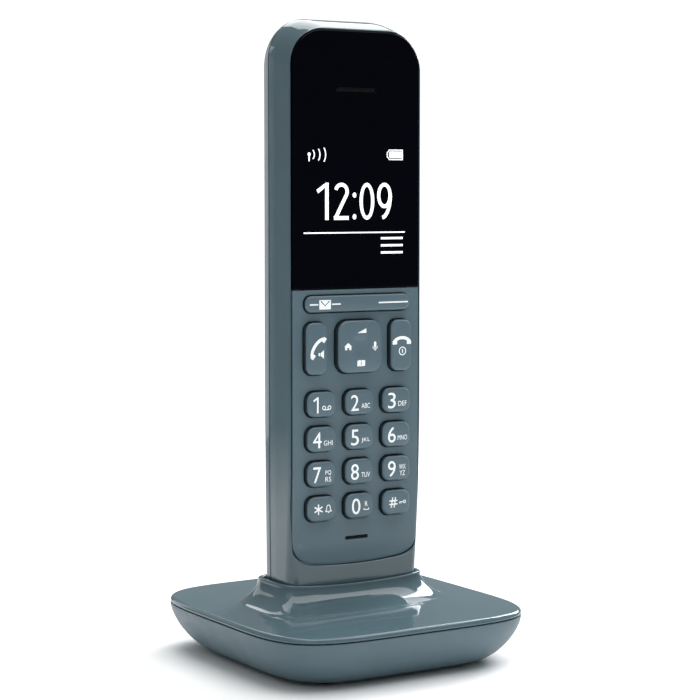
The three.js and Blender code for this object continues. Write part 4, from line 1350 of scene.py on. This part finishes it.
def print_keys():
    """Prints every key's legend in pale ink with a faint painted glow."""
    for name in KEY_LETTERS:
        lay_legend(name, digit_parts(name))
    makers = {
        "key_1": one_parts,
        "key_0": zero_parts,
        "key_star": star_parts,
        "key_hash": hash_parts,
        "key_softkeys": softkey_parts,
        "key_navigation": navigation_parts,
        "key_call": call_parts,
        "key_hang_up": hang_up_parts,
    }
    for name, maker in makers.items():
        lay_legend(name, maker(*front_centre(name)))


def lay_legend(name, parts):
    """Prints parts on a key's domed top."""
    body = KEY_BODIES.get(name, name)
    print_on(name + "_legend", parts, lambda x, z: key_top(name, x, z), body, GLOWING_INK)


def one_parts(cx, cz):
    """The figure one, and the sign for recorded messages."""
    z, stroke = cz - 0.95, 0.26
    left, right = cx + 0.5, cx + 2.3
    reels = [hoop(x, z, 0.5, 0.5, stroke) for x in (left, right)]
    tape = bar((left, z - 0.56), (right, z - 0.56), stroke)
    return curve_mesh([figure_one(cx - 1.55, cz - 0.1, FIGURE_HEIGHT, FIGURE_STROKE), *reels, tape])


def zero_parts(cx, cz):
    """The figure zero, a letter and the sign for a space."""
    corners = plate(cx + 2.1, cz - 1, (-0.8, 0.25), (-0.8, -0.25), (0.8, -0.25), (0.8, 0.25))
    space = [bar(*ends, THIN) for ends in zip(corners, corners[1:])]
    return [
        text_mesh("0", (cx - 1.35, cz - 0.1), 2.8, FIGURE_HEIGHT),
        text_mesh("R", (cx + 2.1, cz + 0.45), 0.95, LETTER_HEIGHT),
        *curve_mesh(space),
    ]


def star_parts(cx, cz):
    """A six-armed star, and a bell."""
    x, reach = cx - 1.35, 1.5
    arms = []
    for turn in np.radians((90, 30, 150)):
        step = np.array([math.cos(turn), math.sin(turn)]) * reach
        arms.append(bar([x, cz] - step, [x, cz] + step, 0.4))
    x = cx + 1.95
    left = [(x - 1.0, cz - 0.7), (x - 0.65, cz - 0.25)]
    right = [(x + 0.65, cz - 0.25), (x + 1.0, cz - 0.7)]
    bell = ribbon(np.concatenate([left, sweep(x, cz + 0.3, 0.6, 0.8, 180, 0, 16), right]), THIN)
    base = bar((x - 1.1, cz - 0.72), (x + 1.1, cz - 0.72), THIN)
    clapper = sweep(x, cz - 1.0, 0.3, 0.22, 180, 360, 12)
    return curve_mesh([*arms, bell, base, clapper])


def hash_parts(cx, cz):
    """A hash, and a small key for the keypad lock."""
    x, shapes = cx - 1.2, []
    for shift in (-0.5, 0.5):
        shapes.append(bar((x - 1.4, cz + shift), (x + 1.4, cz + shift), 0.34))
        shapes.append(bar((x + shift - 0.25, cz - 1.5), (x + shift + 0.25, cz + 1.5), 0.34))
    x = cx + 2.0
    shapes.append(bar((x - 1.15, cz), (x + 0.35, cz), THIN))
    shapes += [bar((x - at, cz), (x - at, cz - 0.5), THIN) for at in (1.0, 0.5)]
    return curve_mesh([*shapes, hoop(x + 0.7, cz, 0.4, 0.4, THIN)])


def softkey_parts(cx, cz):
    """A line broken by an envelope at the left, and a plain line at the right."""
    z, stroke = cz - 0.1, 0.4
    left, right = cx - 13.15, cx - 9.35
    envelope = plate(0, z, (left, -1.4), (right, -1.4), (right, 1.25), (left, 1.25))
    fold = (left + right) / 2
    flap = ribbon([(left + 0.45, z + 0.95), (fold, z - 0.35), (right - 0.45, z + 0.95)], 0.34)
    ends = [(-16.3, -13.5, z), (-9.0, -6.1, z), (6.7, 16.8, z + 0.05)]
    lines = [bar((cx + start, level), (cx + end, level), stroke) for start, end, level in ends]
    return curve_mesh([[envelope, flap], *lines])


def navigation_parts(cx, cz):
    """A volume wedge, an open book, a house and a microphone round the middle."""
    wedge = plate(cx + 0.3, cz + 4.5, (-1.5, -0.6), (1.5, 0.65), (1.5, -0.6))
    wall = [(-1.1, -1.05), (-0.35, -1.05), (-0.35, -0.3), (0.35, -0.3), (0.35, -1.05), (1.1, -1.05)]
    roof = [(1.1, 0), (1.35, 0), (0, 1.2), (-1.35, 0), (-1.1, 0)]
    house = np.array(wall + roof) * 0.92 + [cx - 4.3, cz + 0.1]
    x, z = cx + 0.1, cz - 4.8
    lower = [(-1.3, -0.85), (-0.3, -0.7), (0, -0.95), (0.3, -0.7), (1.3, -0.85)]
    upper = [(1.3, 0.8), (0.3, 0.95), (0, 0.7), (-0.3, 0.95), (-1.3, 0.8)]
    page = plate(x, z, (-0.14, -0.5), (0.14, -0.5), (0.14, 0.45), (-0.14, 0.45))
    book = [plate(x, z, *lower, *upper), page]
    x, z = cx + 4.8, cz + 0.05
    ends = [sweep(x, z + 0.75, 0.42, 0.5, 0, 180, 12), sweep(x, z - 0.1, 0.42, 0.5, 180, 360, 12)]
    cradle = ribbon(sweep(x, z, 0.85, 0.95, 190, 350, 16), THIN)
    stem = bar((x, z - 0.9), (x, z - 1.4), 0.28)
    return curve_mesh([wedge, house, book, np.concatenate(ends), cradle, stem])


def receiver(centre, reach, turn):
    """A telephone receiver seen from the side: a bowed grip with a pad at each end."""
    shapes = [ribbon(sweep(0, -1.4, reach, 1.75, 168, 12, 24), 0.9)]
    for x in (0.35 - reach, reach - 0.35):
        shapes.append(plate(x, -1.05, (-0.75, -0.5), (0.75, -0.5), (0.75, 0.5), (-0.75, 0.5)))
    a = math.radians(turn)
    spin = np.array([[math.cos(a), math.sin(a)], [-math.sin(a), math.cos(a)]])
    return [shape @ spin + centre for shape in shapes]


def call_parts(cx, cz):
    """A tilted receiver, and a small loudspeaker."""
    glyph = receiver((cx - 0.45, cz + 0.75), 3.35, 52)
    x, z = cx + 1.25, cz - 1.6
    horn = plate(x, z, (-0.2, -0.4), (0.85, -1.25), (0.85, 1.25), (-0.2, 0.4))
    magnet = plate(x, z, (-0.95, -0.42), (-0.4, -0.42), (-0.4, 0.42), (-0.95, 0.42))
    return curve_mesh([*glyph, horn, magnet])


def hang_up_parts(cx, cz):
    """A level receiver over a power sign."""
    glyph = receiver((cx + 0.1, cz + 1.8), 2.8, 0)
    x, z = cx + 0.25, cz - 1.7
    return curve_mesh([*glyph, hoop(x, z, 1.12, 1.12, 0.28), bar((x, z - 0.55), (x, z + 0.55), 0.36)])


def clock_parts():
    """The time in tall narrow figures."""
    z, height, stroke = 131.85, 10.5, 1.08
    half = height / 2
    one_x, two_x, dots_x, zero_x, nine_x = -9.95, -5.1, -0.75, 3.45, 9.4
    line_z = z - half + stroke / 2
    bowl = sweep(two_x, z + half - 2.5, 1.9, 1.96, 165, -25, 20)
    slant = [(two_x - 1.75, line_z + 0.4), (two_x - 2.1, line_z)]
    figure_two = ribbon(np.concatenate([bowl, slant]), stroke)
    foot = bar((two_x - 2.5, line_z), (two_x + 2.4, line_z), stroke)
    dots = [sweep(dots_x, z - half + up, 0.62, 0.75, 0, 345, 24) for up in (0.85, 7.0)]
    loop_z = z + half - 3.6
    tail = ribbon(sweep(nine_x - 1.0, loop_z, 3.0, loop_z - line_z, 0, -84, 24), stroke)
    loops = [hoop(zero_x, z, 1.95, half - stroke / 2, stroke), hoop(nine_x, loop_z, 1.95, 3.1, stroke)]
    return curve_mesh([figure_one(one_x, z, height, 1.15), figure_two, foot, *dots, *loops, tail])


def status_parts():
    """Signal and battery symbols, the ruled line and a list mark."""
    x, z = -15.75, 144.95
    stem = bar((x, z - 1.9), (x, z + 0.1), 0.4)
    dot = sweep(x, z + 0.1, 0.5, 0.5, 0, 345, 20)
    waves = []
    for i in (1, 2, 3):
        wave = sweep(x + 1.75 * i - 1.0, z, 0.85 + 0.1 * i, 1.0 + 0.4 * i, -62, 62, 16)
        waves.append(ribbon(wave, 0.34))
    corners = [(-2.1, -1.5), (2.6, -1.5), (2.6, 1.5), (-2.1, 1.5)]
    case = np.array([*corners, (-2.5, 0.95), (-2.9, 0.75), (-2.9, -0.75), (-2.5, -0.95)])
    middle = [13.1, 145.15]
    hollow = [case + middle, case * [0.9, 0.82] + [-0.02, 0] + middle]
    charge = [(-1.75, -0.95), (2.3, -0.95), (2.3, 0.95), (-1.75, 0.95), (-2.15, 0.45), (-2.15, -0.45)]
    rule = bar((-17.6, 122.95), (16.4, 122.95), 0.36)
    menu = [bar((8.2, 119.2 + step * 2.05), (15.7, 119.2 + step * 2.05), 0.62) for step in (-1, 0, 1)]
    return curve_mesh([stem, dot, *waves, hollow, plate(*middle, *charge), rule, *menu])


def print_display():
    """The lit signs, a hair in front of the glass."""
    for name, maker in (("clock", clock_parts), ("symbols", status_parts)):
        print_on(f"display_{name}", maker(), lambda x, z: PANEL_Y, "handset", LIT, 0.012)


# ------------------------------------------------------------------ what the cases hold


def cell_sleeve(name, base_colour, band_colour, low_z, high_z, positive_up):
    """A battery cell's printed sleeve: a wide body colour and a contrasting band at the positive end."""
    nodes = Nodes(name)
    height = nodes.add("ShaderNodeSeparateXYZ")
    nodes.join(nodes.place, height.inputs[0])
    start = low_z + (high_z - low_z) * (0.74 if positive_up else 0.26)
    blur = 0.1 if positive_up else -0.1
    band = nodes.ranged(height.outputs["Z"], 0, 1, (start - blur) * MM, (start + blur) * MM)
    tone = nodes.mixed(band, base_colour, band_colour)
    nodes.drive(Base_Color=tone, Roughness=nodes.ranged(nodes.noise(3, 4), 0.22, 0.34))
    nodes.bump((nodes.noise(6, 3), 0.01))
    return nodes.material


CELL_COLOUR = (0.02, 0.16, 0.2)
BAND_COLOUR = (0.5, 0.52, 0.52)


def make_cells():
    """Two AAA cells, one each way up: a sleeve crimped round a negative cap and a positive button."""
    for side in ("left", "right"):
        node = f"battery_cell_{side}"
        low, high = span(node)
        up = side == "left"
        radius, length = (high[0] - low[0]) / 2, high[2] - low[2]
        body = length - 1.0
        crimp = [(-1.1, 0), (-0.9, 0.25), (-0.6, 0.25), (-0.2, 0.35), (0, 0.7)]
        crimp += [(0, body - 0.9), (-0.25, body - 0.55), (-0.7, body - 0.45), (-0.9, body - 0.6)]
        button = [(2.3, body - 0.6), (1.9, body - 0.45), (1.85, length - 0.15), (1.7, length), (0.8, length)]
        profile = [(2.4, 0), *[(radius + grow, level) for grow, level in crimp], *button]
        placed = [(r, low[2] + h if up else high[2] - h) for r, h in profile]
        sleeve = cell_sleeve(f"cell_sleeve_{side}", CELL_COLOUR, BAND_COLOUR, low[2], high[2], up)
        cell = new_object(f"cell_{side}", turned(plan_centre(node), placed, 56))
        finish_piece(cell, "handset", sleeve, [node], 50)


def coat_inner_nodes():
    """Gives the CAD pieces that stay as they are their finishes."""
    finishes = {
        BOARD: "base_board handset_board",
        BLACK_PLASTIC: "paging_switch loudspeaker",
        GOLD: "charge_barrel_left charge_barrel_right charge_contact_left charge_contact_right antenna",
        STEEL: "battery_link battery_contact_left battery_contact_right",
        TIN: "radio_shield display_module",
        MAT_RUBBER: "keypad_mat navigation_actuator",
    }
    for material, names in finishes.items():
        for name in names.split():
            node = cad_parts[name]
            node.data.materials.clear()
            node.data.materials.append(material)


def make_sound_capsules():
    """Earpiece and microphone: a round capsule with a gasket that fills the slot from behind, its near-black
    tone painted shade for the slot's dark inside.
    """
    for name, (half_x, half_z, _) in (("earpiece", EARPIECE_SLOT), ("microphone", MICROPHONE_SLOT)):
        low, high = span(name)
        centre, radius = front_centre(name), (high[0] - low[0]) / 2
        profile = [(radius, high[1]), (radius, low[1] + 0.3), (radius - 0.3, low[1])]
        made = new_object(name + "_capsule", turned(centre, profile, 48, "y"))
        loop = rounded_loop(centre, half_x - 0.1, half_z - 0.1, half_z - 0.12, 8)
        snout = loft([upright_at(loop, y) for y in (low[1] + 0.5, PANEL_Y + 0.45)])
        carve(made, [snout], "UNION")
        finish_piece(made, "handset", SLOT_SHADE_GASKET, [name])


def make_paging_key():
    """The paging key: a flange inside the tray, and a rounded cap with a shallow dish in it."""
    low, high = span("paging_key")
    centre = front_centre("paging_key")
    half_x, _, half_z = (high - low) / 2 - PAGE_FLANGE
    top, back, round_off = high[1], low[1], 0.5

    def ring(grow, y):
        return upright_at(rounded_loop(centre, half_x + grow, half_z + grow, half_z + grow - 0.08, 10), y)

    rings = [ring(-0.8, back), ring(0, back), ring(0, back + 0.7), ring(PAGE_FLANGE, back + 0.7)]
    rings += [ring(PAGE_FLANGE, back + 1.7), ring(0, back + 1.7), ring(0, top - round_off)]
    rings += [ring(-inset, top - fall) for inset, fall in quarter(round_off, range(18, 91, 18))]
    rings += [ring(-0.9, top - 0.05), ring(-1.3, top - 0.12), ring(-1.8, top - 0.16)]
    key = new_object("paging_button", loft(rings))
    # its side walls take the key plastic's painted shade
    finish_piece(key, "paging_key", KEY_PLASTIC_SHADED_WALLS, ["paging_key"])


# ------------------------------------------------------------------ build


def make_keys():
    for name in ALL_KEYS:
        make_key(name, KEY_BODIES.get(name, name))


make_cover()
make_tray()
make_jacks()
make_feet()
make_base_screws()
make_handset_screws()
make_pins()
make_front_shell()
make_back_shell()
make_door()
make_window()
make_panel()
make_keys()
make_sound_capsules()
make_paging_key()
make_cells()
print_keys()
print_display()
coat_inner_nodes()

# ------------------------------------------------------------------ floor, lights and camera

FLOOR_FADE = (0.25, 0.6)  # metres from the middle of the base
FLOOR_LEVEL = -0.02  # millimetres, just clear of the feet
FLOOR_SIDES = 96


def make_floor():
    """A pale disc that the base stands on, fading into the white room at its rim."""
    nodes = Nodes("studio_floor")
    nodes.set(Roughness=0.9, Specular_IOR_Level=0.1)
    tone = nodes.mixed(nodes.ranged(nodes.noise(40, 3), 0, 1), (0.9, 0.9, 0.9), (0.93, 0.93, 0.93))
    distance = nodes.add("ShaderNodeVectorMath", operation="LENGTH")
    nodes.join(nodes.place, distance.inputs[0])
    fade = nodes.ranged(distance.outputs["Value"], 1, 0, *FLOOR_FADE)
    nodes.drive(Base_Color=tone, Alpha=fade)
    ring = disc_ring((0, 0), FLOOR_FADE[1] / MM, FLOOR_LEVEL, FLOOR_SIDES)
    floor = new_object("floor", (ring, [tuple(range(FLOOR_SIDES))]))
    floor.data.materials.append(nodes.material)


def direction(azimuth, elevation):
    """A unit vector: azimuth 0 points out of the keypad and 90 to its right."""
    a, e = math.radians(azimuth), math.radians(elevation)
    return Vector((math.sin(a) * math.cos(e), -math.cos(a) * math.cos(e), math.sin(e)))


def softbox(name, azimuth, elevation, distance, width, height, radiance):
    """A soft rectangular lamp that the camera doesn't see, with its sizes in metres."""
    target = Vector((0, 0, 0.09))
    away = direction(azimuth, elevation)
    data = bpy.data.lights.new(name, "AREA")
    data.shape = "RECTANGLE"
    data.size, data.size_y = width, height
    data.energy = radiance * math.pi * width * height
    lamp = bpy.data.objects.new(name, data)
    lamp.location = target + away * distance
    lamp.rotation_euler = away.to_track_quat("Z", "Y").to_euler()
    lamp.visible_camera = False
    bpy.context.scene.collection.objects.link(lamp)


def make_lights():
    softbox("overhead", 80, 80, 1.5, 1.8, 1.6, 3.0)
    softbox("rim_behind", 150, 40, 1.7, 1.0, 1.0, 2.6)
    softbox("key_right", 112, 30, 1.4, 0.6, 0.8, 12.0)
    softbox("left_back", -166, 8, 1.4, 0.5, 0.8, 1.3)
    softbox("left_top", -60, 50, 1.6, 1.2, 1.0, 0.7)


def make_world():
    """White where the camera looks past the object, and a dim grey room for light and reflections."""
    world = bpy.data.worlds.new("studio")
    bpy.context.scene.world = world
    world.use_nodes = True
    tree = world.node_tree
    room = tree.nodes["Background"]
    room.inputs["Color"].default_value = (0.93, 0.98, 1.0, 1)
    room.inputs["Strength"].default_value = 0.26
    seen = tree.nodes.new("ShaderNodeBackground")
    seen.inputs["Color"].default_value = (1, 1, 1, 1)
    seen.inputs["Strength"].default_value = 1.05
    path = tree.nodes.new("ShaderNodeLightPath")
    mix = tree.nodes.new("ShaderNodeMixShader")
    tree.links.new(path.outputs["Is Camera Ray"], mix.inputs[0])
    tree.links.new(room.outputs[0], mix.inputs[1])
    tree.links.new(seen.outputs[0], mix.inputs[2])
    tree.links.new(mix.outputs[0], tree.nodes["World Output"].inputs["Surface"])


def make_camera():
    """The photographer's place, a little above the handset's middle and to its left."""
    low, high = cad_bounds
    target = Vector((0.00237, 0.0, (low.z + high.z) / 2 - 0.0030))
    away = direction(-31.97, 4.43)
    distance = 0.5832
    data = bpy.data.cameras.new("camera")
    data.sensor_width = 36
    data.lens = 103.37
    data.clip_start, data.clip_end = 0.01, 50
    camera = bpy.data.objects.new("camera", data)
    camera.location = target + away * distance
    camera.rotation_euler = away.to_track_quat("Z", "Y").to_euler()
    bpy.context.scene.collection.objects.link(camera)
    bpy.context.scene.camera = camera


make_floor()
make_lights()
make_world()
make_camera()
bpy.context.scene.view_settings.view_transform = "Standard"
